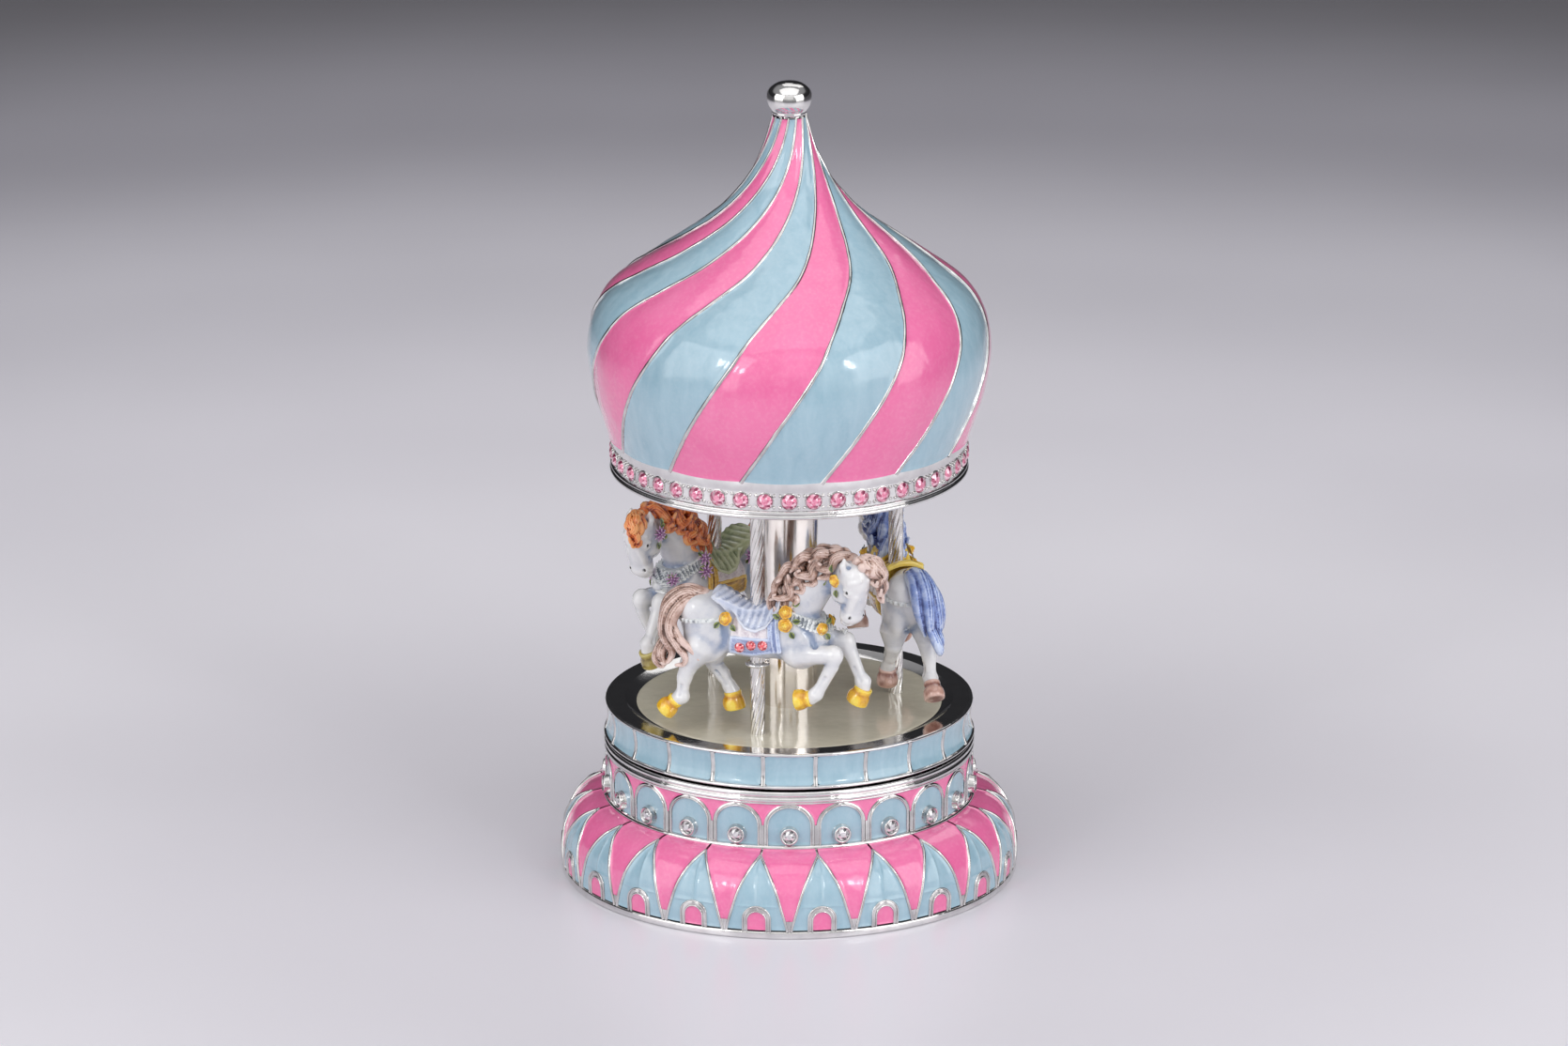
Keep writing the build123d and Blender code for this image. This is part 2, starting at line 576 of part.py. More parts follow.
with BuildPart() as floor_disc:
    with BuildSketch(Plane.XY.offset(CARRIER_TOP)):
        Circle(FLOOR_R)
        Circle(HUB_NECK_R, mode=Mode.SUBTRACT)
        for angle in POLE_ANGLES:
            with PolarLocations(POLE_CIRCLE_R, 1, start_angle=angle):
                Circle(POLE_SHANK_R, mode=Mode.SUBTRACT)
    extrude(amount=FLOOR_TOP - CARRIER_TOP)
save(floor_disc, "floor_disc")

TIE_ROD_R = 1.5
with BuildPart() as turntable_hub:
    turn_about_z([
        (SPINDLE_R, SEAT_TOP + 0.05), (7.5, SEAT_TOP + 0.05), (7.5, CARRIER_BOTTOM),
        (HUB_NECK_R, CARRIER_BOTTOM), (HUB_NECK_R, FLOOR_TOP), (TIE_ROD_R, FLOOR_TOP),
        (TIE_ROD_R, SPINDLE_TOP), (SPINDLE_R, SPINDLE_TOP),
    ])
save(turntable_hub, "turntable_hub")

CEILING_BOTTOM = 80.8
CEILING_TOP = 82.4
with BuildPart() as centre_column:
    with BuildSketch(Plane.XY.offset(FLOOR_TOP)):
        Circle(COLUMN_R)
        Circle(COLUMN_R - 0.8, mode=Mode.SUBTRACT)
    extrude(amount=CEILING_BOTTOM - FLOOR_TOP)
save(centre_column, "centre_column")

FINIAL_BOTTOM = NECK_TOP
with BuildPart() as tie_rod:
    with Locations((0, 0, SPINDLE_TOP)):
        Cylinder(TIE_ROD_R, FINIAL_BOTTOM + 2.5 - SPINDLE_TOP,
                 align=(Align.CENTER, Align.CENTER, Align.MIN))
save(tie_rod, "tie_rod")

POLE_LOCATIONS = [
    Location((POLE_CIRCLE_R * cos(radians(a)), POLE_CIRCLE_R * sin(radians(a)), 0), (0, 0, a + 90))
    for a in POLE_ANGLES
]
POLE_NUT_BOTTOM = 28.0
for place, side in zip(POLE_LOCATIONS, ("front", "right", "left")):
    with BuildPart() as pole:
        with Locations(place):
            with Locations((0, 0, POLE_NUT_BOTTOM - 0.4)):
                Cylinder(POLE_SHANK_R, CEILING_TOP + 1.6 - POLE_NUT_BOTTOM + 0.4,
                         align=(Align.CENTER, Align.CENTER, Align.MIN))
            with Locations((0, 0, FLOOR_TOP)):
                Cylinder(POLE_R, CEILING_BOTTOM - FLOOR_TOP,
                         align=(Align.CENTER, Align.CENTER, Align.MIN))
    save(pole, f"{side}_pole")

with BuildPart() as pole_nuts:
    for level in (POLE_NUT_BOTTOM, CEILING_TOP):
        for place in POLE_LOCATIONS:
            with BuildSketch(Plane(place.position + Vector(0, 0, level))):
                RegularPolygon(2.3, 6)
                Circle(POLE_SHANK_R, mode=Mode.SUBTRACT)
            extrude(amount=CARRIER_BOTTOM - POLE_NUT_BOTTOM if level == POLE_NUT_BOTTOM else 1.6)
save(pole_nuts, "pole_nuts")

COLLAR_TOP = 48.0
COLLAR_R = 2.4
COLLAR_HEIGHT = 0.9
with BuildPart() as pole_collars:
    for place in POLE_LOCATIONS:
        with BuildSketch(Plane(place.position + Vector(0, 0, COLLAR_TOP - COLLAR_HEIGHT))):
            Circle(COLLAR_R)
            Circle(POLE_R, mode=Mode.SUBTRACT)
        extrude(amount=COLLAR_HEIGHT)
save(pole_collars, "pole_collars")

# ================================================================ horses
# A horse stands with its pole on the Z axis and faces +X; its right side, -Y, faces outwards.
BARREL_STATIONS = (   # x, height of the middle, half width, half height
    (-14.4, 55.0, 1.6, 1.8), (-13.0, 54.8, 3.9, 4.4), (-9.0, 54.6, 4.9, 6.0), (-2.0, 53.3, 4.4, 5.0),
    (4.0, 53.0, 4.6, 5.6), (9.0, 53.4, 4.2, 5.8), (12.2, 53.4, 2.0, 2.8),
)
NECK = ((7.0, 0, 56.5, 4.2), (11.0, 0, 63.4, 3.3))
NEAR_FORELEG = ((8.6, -2.8, 51.2, 2.5), (16.4, -3.5, 51.6, 1.7), (12.8, -3.6, 43.6, 1.2),
                (9.8, -3.6, 42.3, 1.6))
FAR_FORELEG = ((9.0, 2.6, 52.0, 2.4), (16.9, 2.8, 52.4, 1.6), (20.1, 2.8, 44.8, 1.2),
               (19.3, 2.8, 41.8, 1.7))
NEAR_HINDLEG = ((-10.4, -2.9, 51.4, 3.2), (-13.4, -3.3, 45.6, 1.6), (-13.9, -3.4, 41.0, 1.3),
                (-16.8, -3.4, 38.4, 1.6))
FAR_HINDLEG = ((-9.4, 2.7, 49.4, 3.0), (-8.6, 2.9, 44.8, 1.5), (-6.1, 3.0, 41.2, 1.2),
               (-5.6, 3.0, 38.4, 1.6))
TAIL = ((-12.4, 0, 60.0, 1.3), (-16.4, -1.2, 58.8, 1.7), (-17.4, -2.4, 54.0, 2.0), (-16.2, -3.6, 49.0, 1.7))
MANE = ((5.4, 0, 63.6, 1.7), (8.6, 0, 67.6, 1.9))
CREST = (12.4, 70.0, 1.9)               # x, height and radius of the mane's highest link
FORELOCK = (3.6, 70.0, 1.6)             # distance in front of the poll, height and radius
POLL = (16.0, 67.6, 2.5)                # x, height and radius where the neck meets the head
POLL_SWING = 1.6                        # how far the poll moves sideways as the head turns
CHEEK = (1.5, 64.2, 2.3)                # distance in front of the poll, height and radius
MUZZLE = (3.6, 59.7, 1.7)


def add_limb(points):
    """Adds a chain of tapering round links with a ball at each joint, in the open part."""
    for start, end in zip(points, points[1:]):
        a, b = Vector(*start[:3]), Vector(*end[:3])
        with BuildSketch(Plane(origin=a, z_dir=b - a)) as near:
            Circle(start[3] * 0.97)
        with BuildSketch(Plane(origin=b, z_dir=b - a)) as far:
            Circle(end[3] * 0.97)
        loft([near.sketch, far.sketch])
    for x, y, z, r in points:
        with Locations((x, y, z)):
            Sphere(r)


with BuildPart() as horse:
    for x, z, half_width, half_height in BARREL_STATIONS:
        with BuildSketch(Plane(origin=(x, 0, z), x_dir=(0, 1, 0), z_dir=(1, 0, 0))):
            Ellipse(half_width, half_height)
    loft()
    for chain in (NEAR_FORELEG, FAR_FORELEG, NEAR_HINDLEG, FAR_HINDLEG, TAIL):
        add_limb(chain)
    with Locations((0, 0, COLLAR_TOP)):
        Cylinder(COLLAR_R + 0.2, 3, align=(Align.CENTER, Align.CENTER, Align.MAX), mode=Mode.SUBTRACT)
        Cylinder(POLE_R + 0.03, 30, mode=Mode.SUBTRACT)

# each horse turns its head by its own angle, positive to its left
for place, name, head_turn in zip(POLE_LOCATIONS, ("brown_horse", "blue_horse", "orange_horse"), (-38, 0, 15)):
    ahead, aside = cos(radians(head_turn)), sin(radians(head_turn))
    poll_y = POLL_SWING * aside
    poll = (POLL[0], poll_y, *POLL[1:])
    cheek = (POLL[0] + CHEEK[0] * ahead, poll_y + CHEEK[0] * aside, *CHEEK[1:])
    muzzle = (POLL[0] + MUZZLE[0] * ahead, poll_y + MUZZLE[0] * aside, *MUZZLE[1:])
    forelock = (POLL[0] + FORELOCK[0] * ahead, poll_y + FORELOCK[0] * aside, *FORELOCK[1:])
    crest = (CREST[0], poll_y / 2, *CREST[1:])
    with BuildPart() as whole_horse:
        add(horse.part)
        add_limb((*NECK, poll))
        add_limb((poll, cheek, muzzle))
        add_limb((*MANE, crest, forelock))
    with BuildPart() as placed_horse:
        with Locations(place):
            add(whole_horse.part)
    save(placed_horse, name)

SADDLE_STONE_R = 0.9
SADDLE_STONE_Y = -5.15
SADDLE_STONE_SPOTS = ((-2.1, 52.0), (0.2, 52.6), (2.5, 52.8))     # x and height
saddle_stone = brilliant(SADDLE_STONE_R)
with BuildPart() as saddle_stones:
    for place in POLE_LOCATIONS:
        with Locations(place):
            with Locations(*(Location((x, SADDLE_STONE_Y, z), (0, 0, -90)) for x, z in SADDLE_STONE_SPOTS)):
                add(saddle_stone)
save(saddle_stones, "saddle_stones")

# ================================================================ canopy
CEILING_R = 33.2
CEILING_SCREW_R = 30.3
CEILING_SCREW_START = 30
with BuildPart() as ceiling_plate:
    with BuildSketch(Plane.XY.offset(CEILING_BOTTOM)):
        Circle(CEILING_R)
        Circle(TIE_ROD_R, mode=Mode.SUBTRACT)
        for angle in POLE_ANGLES:
            with PolarLocations(POLE_CIRCLE_R, 1, start_angle=angle):
                Circle(POLE_SHANK_R, mode=Mode.SUBTRACT)
        with PolarLocations(CEILING_SCREW_R, 3, start_angle=CEILING_SCREW_START):
            Circle(0.9, mode=Mode.SUBTRACT)
    extrude(amount=CEILING_TOP - CEILING_BOTTOM)
save(ceiling_plate, "ceiling_plate")

GEM_BAND_R = 33.9
with BuildPart() as cornice:
    with BuildSketch(Plane.XZ):
        with BuildLine():
            Polyline((CEILING_R, CORNICE_BOTTOM), (CORNICE_R - 0.5, CORNICE_BOTTOM))
            ThreePointArc((CORNICE_R - 0.5, CORNICE_BOTTOM), (CORNICE_R, 81.1), (CORNICE_R - 0.3, 81.8))
            Polyline(
                (CORNICE_R - 0.3, 81.8), (GEM_BAND_R, 82.2), (GEM_BAND_R, 86.0), (34.3, DOME_BOTTOM),
                (31.8, DOME_BOTTOM), (31.8, 84.6), (28.6, 84.6), (28.6, CEILING_TOP),
                (CEILING_R, CEILING_TOP), (CEILING_R, CORNICE_BOTTOM),
            )
        make_face()
    revolve(axis=Axis.Z)
    with PolarLocations(GEM_BAND_R - 1.3, CORNICE_STONES, start_angle=-90):
        with Locations(Location((0, 0, CORNICE_STONE_Z), (0, 90, 0))):
            Cylinder(CORNICE_STONE_R + 0.03, 2, align=(Align.CENTER, Align.CENTER, Align.MIN),
                     mode=Mode.SUBTRACT)
    with Locations((0, 0, CEILING_TOP)):
        with PolarLocations(CEILING_SCREW_R, 3, start_angle=CEILING_SCREW_START):
            Cylinder(0.8, 1.6, align=(Align.CENTER, Align.CENTER, Align.MIN), mode=Mode.SUBTRACT)
save(cornice, "cornice")

cornice_stone = brilliant(CORNICE_STONE_R)
with BuildPart() as cornice_crystals:
    with PolarLocations(GEM_BAND_R, CORNICE_STONES, start_angle=-90):
        with Locations((0, 0, CORNICE_STONE_Z)):
            add(cornice_stone)
save(cornice_crystals, "cornice_crystals")

with BuildPart() as ceiling_screw:
    add_screws(0.8, 1.5, 0.4, CEILING_TOP + 1.4 - CEILING_BOTTOM)
with BuildPart() as ceiling_screws:
    with Locations((0, 0, CEILING_BOTTOM)):
        with PolarLocations(CEILING_SCREW_R, 3, start_angle=CEILING_SCREW_START):
            add(ceiling_screw.part)
save(ceiling_screws, "ceiling_screws")

DOME_CURVE = (
    (34.4, DOME_BOTTOM), (35.9, 92.0), (37.2, 96.0), (38.2, 101.0), (38.5, 105.5), (37.6, 111.0),
    (34.6, 116.0), (28.2, 120.8), (20.6, 126.0), (14.0, 131.0), (9.4, 136.0), (6.4, 141.0),
    (4.7, 145.0), (3.5, 149.0), (3.3, NECK_TOP),
)
DOME_INNER = (
    (33.1, DOME_BOTTOM), (35.9, 96.0), (37.2, 105.0), (36.2, 111.0), (33.0, 115.6), (26.8, 119.8),
    (19.4, 124.8), (12.8, 129.8), (8.2, 134.8), (5.0, 140.4), (2.6, 147.4),
)
with BuildPart() as dome:
    with BuildSketch(Plane.XZ):
        with BuildLine():
            Spline(*DOME_CURVE)
            Line(DOME_CURVE[-1], (TIE_ROD_R, NECK_TOP))
            Line((TIE_ROD_R, NECK_TOP), (TIE_ROD_R, 147.4))
            Line((TIE_ROD_R, 147.4), DOME_INNER[-1])
            Spline(*reversed(DOME_INNER))
            Line(DOME_INNER[0], DOME_CURVE[0])
        make_face()
    revolve(axis=Axis.Z)
save(dome, "dome")

FINIAL_R = 4.3
FINIAL_MID = 153.7
with BuildPart() as finial:
    with BuildSketch(Plane.XZ):
        with BuildLine():
            Spline(
                (3.2, FINIAL_BOTTOM), (3.75, 151.6), (FINIAL_R, FINIAL_MID), (3.0, 156.0), (0, TOTAL_HEIGHT),
                tangents=((0.2, 1), (-1, 0)),
            )
            Polyline(
                (0, TOTAL_HEIGHT), (0, FINIAL_BOTTOM + 2.5), (TIE_ROD_R, FINIAL_BOTTOM + 2.5),
                (TIE_ROD_R, FINIAL_BOTTOM), (3.2, FINIAL_BOTTOM),
            )
        make_face()
    revolve(axis=Axis.Z)
save(finial, "finial")
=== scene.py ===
"""Carousel music box: the visual model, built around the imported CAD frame.

Pieces are built as meshes in millimetres, in the frame of the CAD model (+Z up, origin under the
foot, front towards -Y), and become metres when they turn into Blender objects. Angles round the
object are degrees from the front, positive towards +X.
"""
from math import atan2, cos, degrees, pi, radians, sin, sqrt
import json
import bpy
import numpy as np
from mathutils import Matrix, Vector


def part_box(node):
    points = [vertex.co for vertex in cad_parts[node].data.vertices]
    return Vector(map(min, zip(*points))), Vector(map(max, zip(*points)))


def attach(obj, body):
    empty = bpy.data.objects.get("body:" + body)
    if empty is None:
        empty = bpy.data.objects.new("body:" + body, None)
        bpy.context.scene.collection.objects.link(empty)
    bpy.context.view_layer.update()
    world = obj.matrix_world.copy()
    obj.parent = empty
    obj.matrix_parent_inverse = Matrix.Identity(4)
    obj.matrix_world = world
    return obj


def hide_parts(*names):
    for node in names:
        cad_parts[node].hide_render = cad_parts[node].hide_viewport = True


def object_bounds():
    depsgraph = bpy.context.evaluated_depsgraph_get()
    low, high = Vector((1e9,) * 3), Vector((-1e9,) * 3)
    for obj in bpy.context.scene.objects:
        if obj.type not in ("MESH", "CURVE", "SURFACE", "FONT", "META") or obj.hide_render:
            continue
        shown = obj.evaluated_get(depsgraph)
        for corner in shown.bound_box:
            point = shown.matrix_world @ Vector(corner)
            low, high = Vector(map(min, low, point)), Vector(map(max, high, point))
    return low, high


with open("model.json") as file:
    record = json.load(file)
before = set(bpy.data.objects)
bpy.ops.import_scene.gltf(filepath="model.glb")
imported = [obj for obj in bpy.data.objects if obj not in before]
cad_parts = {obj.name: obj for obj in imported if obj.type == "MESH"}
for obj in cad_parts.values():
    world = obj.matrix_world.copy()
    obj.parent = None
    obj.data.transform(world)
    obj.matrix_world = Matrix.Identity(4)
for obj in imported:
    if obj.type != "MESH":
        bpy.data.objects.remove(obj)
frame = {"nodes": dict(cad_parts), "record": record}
CAD_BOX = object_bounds()
MM = 0.001
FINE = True


def low(node):
    """Lowest corner of a CAD node, in millimetres."""
    return np.array(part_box(node)[0]) / MM


def high(node):
    """Highest corner of a CAD node, in millimetres."""
    return np.array(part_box(node)[1]) / MM


# ---------------------------------------------------------------- levels and radii from the frame
FOOT_R = high("base_shell")[0]
WAIST_TOP = high("base_shell")[2]
SEAT_TOP = high("top_cover")[2]
BAND_BOTTOM = low("turntable_band")[2]
BAND_TOP = high("turntable_band")[2]
BAND_LIP_R = high("turntable_band")[0]
FLOOR_TOP = high("floor_disc")[2]
CEILING_BOTTOM = low("ceiling_plate")[2]
CORNICE_BOTTOM = low("cornice")[2]
CORNICE_R = high("cornice")[0]
DOME_BOTTOM = low("dome")[2]
NECK_TOP = high("dome")[2]
TOTAL_HEIGHT = high("finial")[2]
COLUMN_R = high("centre_column")[0]
COLLAR_TOP = high("pole_collars")[2]
WAIST_R = 35.4
ARCADE = 22              # arches of the waist, arches of the foot and panels of the band
PITCH = 360 / ARCADE     # degrees
ROUND = 12 * ARCADE      # points round a large turned piece
ARC_STEP = 0.12          # between points of a small rounding
WIRE_SINK = 0.3          # how far a wire's edges reach under the surface


# ---------------------------------------------------------------- mesh helpers
class Batch:
    """Collects vertices (millimetres) and faces of one piece."""

    def __init__(self):
        self.verts = []
        self.faces = []
        self.count = 0

    def add(self, verts, faces):
        """Adds vertices, and faces that count from the first of them."""
        verts = np.asarray(verts, dtype=float).reshape(-1, 3)
        self.verts.append(verts)
        self.faces.extend([[i + self.count for i in face] for face in faces])
        self.count += len(verts)

    def grid(self, points, wrap=False):
        """Adds a grid of points, rows by columns by 3, as quads; wrap joins the last column to the first."""
        rows, cols = points.shape[:2]
        index = np.arange(rows * cols).reshape(rows, cols)
        right = np.roll(index, -1, axis=1)
        if not wrap:
            index, right = index[:, :-1], right[:, :-1]
        quads = np.stack([index[:-1], right[:-1], right[1:], index[1:]], axis=-1).reshape(-1, 4)
        self.add(points, quads.tolist())

    def merge(self, other):
        """Takes over another batch's vertices and faces."""
        self.add(np.vstack(other.verts), other.faces)

    def spun(self, count, phase=0.0):
        """Copies of everything so far, evenly turned about the upright axis, the first by phase degrees."""
        result = Batch()
        verts = np.vstack(self.verts)
        for i in range(count):
            result.add(turn(verts, phase + i * 360 / count), self.faces)
        return result

    def shifted(self, offset):
        """A copy moved by an offset in millimetres."""
        result = Batch()
        result.add(np.vstack(self.verts) + np.asarray(offset), self.faces)
        return result

    def piece(self, name, material, body, slot, replaces=(), smooth=True, crease=50):
        """Makes the Blender object, rides it on its body and hides the CAD nodes that it replaces."""
        mesh = bpy.data.meshes.new(name)
        mesh.from_pydata((np.vstack(self.verts) * MM).tolist(), [], self.faces)
        obj = bpy.data.objects.new(name, mesh)
        bpy.context.collection.objects.link(obj)
        mesh.materials.append(material)
        if smooth:
            mesh.shade_smooth()
            if crease:
                mesh.set_sharp_from_angle(angle=radians(crease))
        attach(obj, body)
        if replaces:
            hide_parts(*replaces)
        return obj


def turn(verts, angle):
    """Vertices turned about the upright axis, counterclockwise seen from above."""
    c, s = cos(radians(angle)), sin(radians(angle))
    return np.asarray(verts) @ np.array([[c, s, 0], [-s, c, 0], [0, 0, 1]])


def smooth_line(points, step):
    """A Catmull-Rom curve through points, resampled evenly at about step millimetres."""
    points = np.asarray(points, dtype=float)
    ends = np.vstack([2 * points[0] - points[1], points, 2 * points[-1] - points[-2]])
    out = []
    for a, b, c, d in zip(ends, ends[1:], ends[2:], ends[3:]):
        t = np.linspace(0, 1, 24, endpoint=False)[:, None]
        out.append(0.5 * (2 * b + (c - a) * t + (2 * a - 5 * b + 4 * c - d) * t**2
                          + (3 * b - a - 3 * c + d) * t**3))
    line = np.vstack(out + [points[-1:]])
    return resample(line, step)


def resample(line, step):
    """A polyline's points spaced evenly at about step."""
    length = np.concatenate([[0], np.cumsum(np.linalg.norm(np.diff(line, axis=0), axis=1))])
    count = max(2, int(round(length[-1] / step)) + 1)
    at = np.linspace(0, length[-1], count)
    return np.stack([np.interp(at, length, line[:, i]) for i in range(line.shape[1])], axis=1)


def arc_line(centre, radius, start, end):
    """Points of an arc in a turned outline, angles in degrees, 0 outwards and 90 up."""
    count = max(4, int(abs(radians(end - start)) * radius / ARC_STEP))
    a = np.radians(np.linspace(start, end, count))
    return np.stack([centre[0] + radius * np.cos(a), centre[1] + radius * np.sin(a)], axis=1)


class Profile:
    """A turned outline of (radius, height) points from bottom to top, walked by arc length."""

    def __init__(self, line):
        self.line = np.asarray(line, dtype=float)
        steps = np.linalg.norm(np.diff(self.line, axis=0), axis=1)
        self.t = np.concatenate([[0], np.cumsum(steps)])
        self.length = self.t[-1]
        slope = np.gradient(self.line, self.t, axis=0)
        slope /= np.linalg.norm(slope, axis=1)[:, None]
        self.normal = np.stack([slope[:, 1], -slope[:, 0]], axis=1)

    def radius(self, t):
        """Radius at an arc length."""
        return np.interp(t, self.t, self.line[:, 0])

    def at_height(self, z):
        """Arc length at a height."""
        return np.interp(z, self.line[:, 1], self.t)

    def point(self, angle, t, lift=0.0):
        """Points on the surface, at angles in degrees and arc lengths, lifted along the normal."""
        angle, t, lift = np.broadcast_arrays(np.radians(angle), t, lift)
        r = np.interp(t, self.t, self.line[:, 0]) + lift * np.interp(t, self.t, self.normal[:, 0])
        z = np.interp(t, self.t, self.line[:, 1]) + lift * np.interp(t, self.t, self.normal[:, 1])
        return np.stack([r * np.sin(angle), -r * np.cos(angle), z], axis=-1)

    def normal_at(self, angle, t):
        """Outward normals at angles in degrees and arc lengths."""
        angle, t = np.broadcast_arrays(np.radians(angle), t)
        nr = np.interp(t, self.t, self.normal[:, 0])
        nz = np.interp(t, self.t, self.normal[:, 1])
        return np.stack([nr * np.sin(angle), -nr * np.cos(angle), nz], axis=-1)


def lathe(line, segments):
    """A turned surface from an outline of (radius, height) points."""
    line = np.asarray(line, dtype=float)
    a = np.linspace(0, 2 * pi, segments, endpoint=False)
    r, z = line[:, 0][:, None], line[:, 1][:, None]
    points = np.stack([r * np.sin(a), -r * np.cos(a), z + 0 * a], axis=-1)
    batch = Batch()
    batch.grid(points, wrap=True)
    return batch


def ripple(points, size, seed=0.0):
    """A smooth repeatable waviness of about -1 to 1 at each point, with features of the given size."""
    p = np.asarray(points) / size * 2 * pi
    x, y, z = p[..., 0], p[..., 1], p[..., 2]
    return (np.sin(x + 1.3 * np.sin(0.7 * y + seed)) + np.sin(y * 1.1 + 1.7 * np.sin(0.6 * z + 2 * seed))
            + np.sin(z * 0.9 + 1.5 * np.sin(0.8 * x + 3 * seed))) / 3


def even(u):
    """Rows spaced evenly."""
    return u


def rounded_end(u):
    """Rows closer together towards the top of a round head."""
    return np.sin(u * pi / 2)


def field(profile, left, right, t_low, t_high, rows, cols, depth=0.22, lift=0.14, crown=0.0, packed=even):
    """One enamel field between two edges, functions of arc length that give degrees. The enamel
    lies depth below the metal and climbs a little where it meets a wall."""
    v = np.linspace(0, 1, cols)
    u = packed(np.linspace(0, 1, rows))
    t = (t_low + (t_high - t_low) * u)[:, None]
    a, b = left(t), right(t)
    angle = a + (b - a) * v[None, :]
    r = profile.radius(t)
    width = np.abs(b - a) * radians(1) * r
    side = np.minimum(v[None, :], 1 - v[None, :]) * width
    end = np.minimum(t - t_low, t_high - t) + 0 * side
    edge = np.minimum(side, end)
    bulge = crown * (1 - (2 * v[None, :] - 1) ** 2) * np.minimum(1, width / 6)
    waves = 0.03 * ripple(profile.point(angle, t), 4.5) * np.minimum(1, edge)
    level = -depth + lift * np.exp(-((edge / 0.3) ** 2)) + bulge + waves
    return profile.point(angle, t, level)


def outwards(grid, side):
    """A grid's columns in the order that keeps its faces outwards on a mirrored side."""
    return grid if side > 0 else grid[:, ::-1]


def unit_rows(vectors):
    """Each row scaled to length 1."""
    return vectors / (np.linalg.norm(vectors, axis=1)[:, None] + 1e-12)


def wire(path, normal, width, height):
    """A rounded wire along a path, with the surface normal at each point; width may change along it."""
    across = unit_rows(np.cross(unit_rows(np.gradient(path, axis=0)), normal))
    half = across * np.broadcast_to(width, len(path))[:, None] / 2
    rows = [path + half - normal * WIRE_SINK]
    for a in np.radians(np.linspace(0, 180, 7)):
        rows.append(path + half * cos(a) + normal * height * sin(a))
    rows.append(path - half - normal * WIRE_SINK)
    batch = Batch()
    batch.grid(np.stack(rows, axis=1))
    return batch


def edge_wire(batch, profile, angles, ts, width, height, step=0.3):
    """Adds a wire along a line given by angles (degrees) and arc lengths on a profile."""
    mid = profile.radius(np.mean(ts)) * radians(1)
    flat = resample(np.stack([angles * mid, ts], axis=1), step)
    a, t = flat[:, 0] / mid, flat[:, 1]
    batch.merge(wire(profile.point(a, t), profile.normal_at(a, t), width, height))


# ---------------------------------------------------------------- materials
def new_material(name):
    """A node material, with its links and its Principled shader."""
    mat = bpy.data.materials.new(name)
    mat.use_nodes = True
    return mat, mat.node_tree.links, mat.node_tree.nodes["Principled BSDF"]


def noise(mat, size, detail, stretch=(1, 1, 1), distort=0.0):
    """A noise texture in object space with features of about size millimetres."""
    nodes, links = mat.node_tree.nodes, mat.node_tree.links
    where = nodes.new("ShaderNodeTexCoord")
    mapping = nodes.new("ShaderNodeMapping")
    mapping.inputs["Scale"].default_value = [s / (size * MM) for s in stretch]
    texture = nodes.new("ShaderNodeTexNoise")
    texture.inputs["Scale"].default_value = 1.0
    texture.inputs["Detail"].default_value = detail
    texture.inputs["Distortion"].default_value = distort
    links.new(where.outputs["Object"], mapping.inputs["Vector"])
    links.new(mapping.outputs["Vector"], texture.inputs["Vector"])
    return texture.outputs["Fac"]


def spread(mat, source, low_value, high_value, start=0.3, end=0.7):
    """Maps a texture's middle range to a range of values."""
    node = mat.node_tree.nodes.new("ShaderNodeMapRange")
    node.inputs["From Min"].default_value = start
    node.inputs["From Max"].default_value = end
    node.inputs["To Min"].default_value = low_value
    node.inputs["To Max"].default_value = high_value
    mat.node_tree.links.new(source, node.inputs["Value"])
    return node.outputs["Result"]


def blend_colours(mat, source, first, second):
    """A colour that goes from first to second as source goes from 0 to 1; either may be a socket."""
    node = mat.node_tree.nodes.new("ShaderNodeMix")
    node.data_type = "RGBA"
    mat.node_tree.links.new(source, node.inputs["Factor"])
    for key, value in (("A", first), ("B", second)):
        socket = [s for s in node.inputs if s.name == key and s.type == "RGBA"][0]
        if isinstance(value, bpy.types.NodeSocket):
            mat.node_tree.links.new(value, socket)
        else:
            socket.default_value = (*value, 1)
    return [s for s in node.outputs if s.type == "RGBA"][0]


def colour_ramp(tree, source, stops):
    """A colour that follows source through (position, colour) stops."""
    node = tree.nodes.new("ShaderNodeValToRGB")
    ramp = node.color_ramp
    ramp.elements[0].position, ramp.elements[1].position = stops[0][0], stops[-1][0]
    ramp.elements[0].color, ramp.elements[1].color = (*stops[0][1], 1), (*stops[-1][1], 1)
    for position, colour in stops[1:-1]:
        ramp.elements.new(position).color = (*colour, 1)
    tree.links.new(source, node.inputs["Fac"])
    return node.outputs["Color"]


def attribute_with_noise(mat, name, size, detail):
    """A mesh attribute, made a little uneven by a noise of -0.2 to 0.2."""
    given = mat.node_tree.nodes.new("ShaderNodeAttribute")
    given.attribute_name = name
    total = mat.node_tree.nodes.new("ShaderNodeMath")
    total.operation = "ADD"
    mat.node_tree.links.new(given.outputs["Fac"], total.inputs[0])
    mat.node_tree.links.new(spread(mat, noise(mat, size, detail), -0.2, 0.2), total.inputs[1])
    return total.outputs["Value"]


def add_bump(mat, source, depth, before=None):
    """A bump of depth millimetres from a height source, after another bump if one is given."""
    node = mat.node_tree.nodes.new("ShaderNodeBump")
    node.inputs["Strength"].default_value = 1.0
    node.inputs["Distance"].default_value = depth * MM
    mat.node_tree.links.new(source, node.inputs["Height"])
    if before is not None:
        mat.node_tree.links.new(before, node.inputs["Normal"])
    return node.outputs["Normal"]


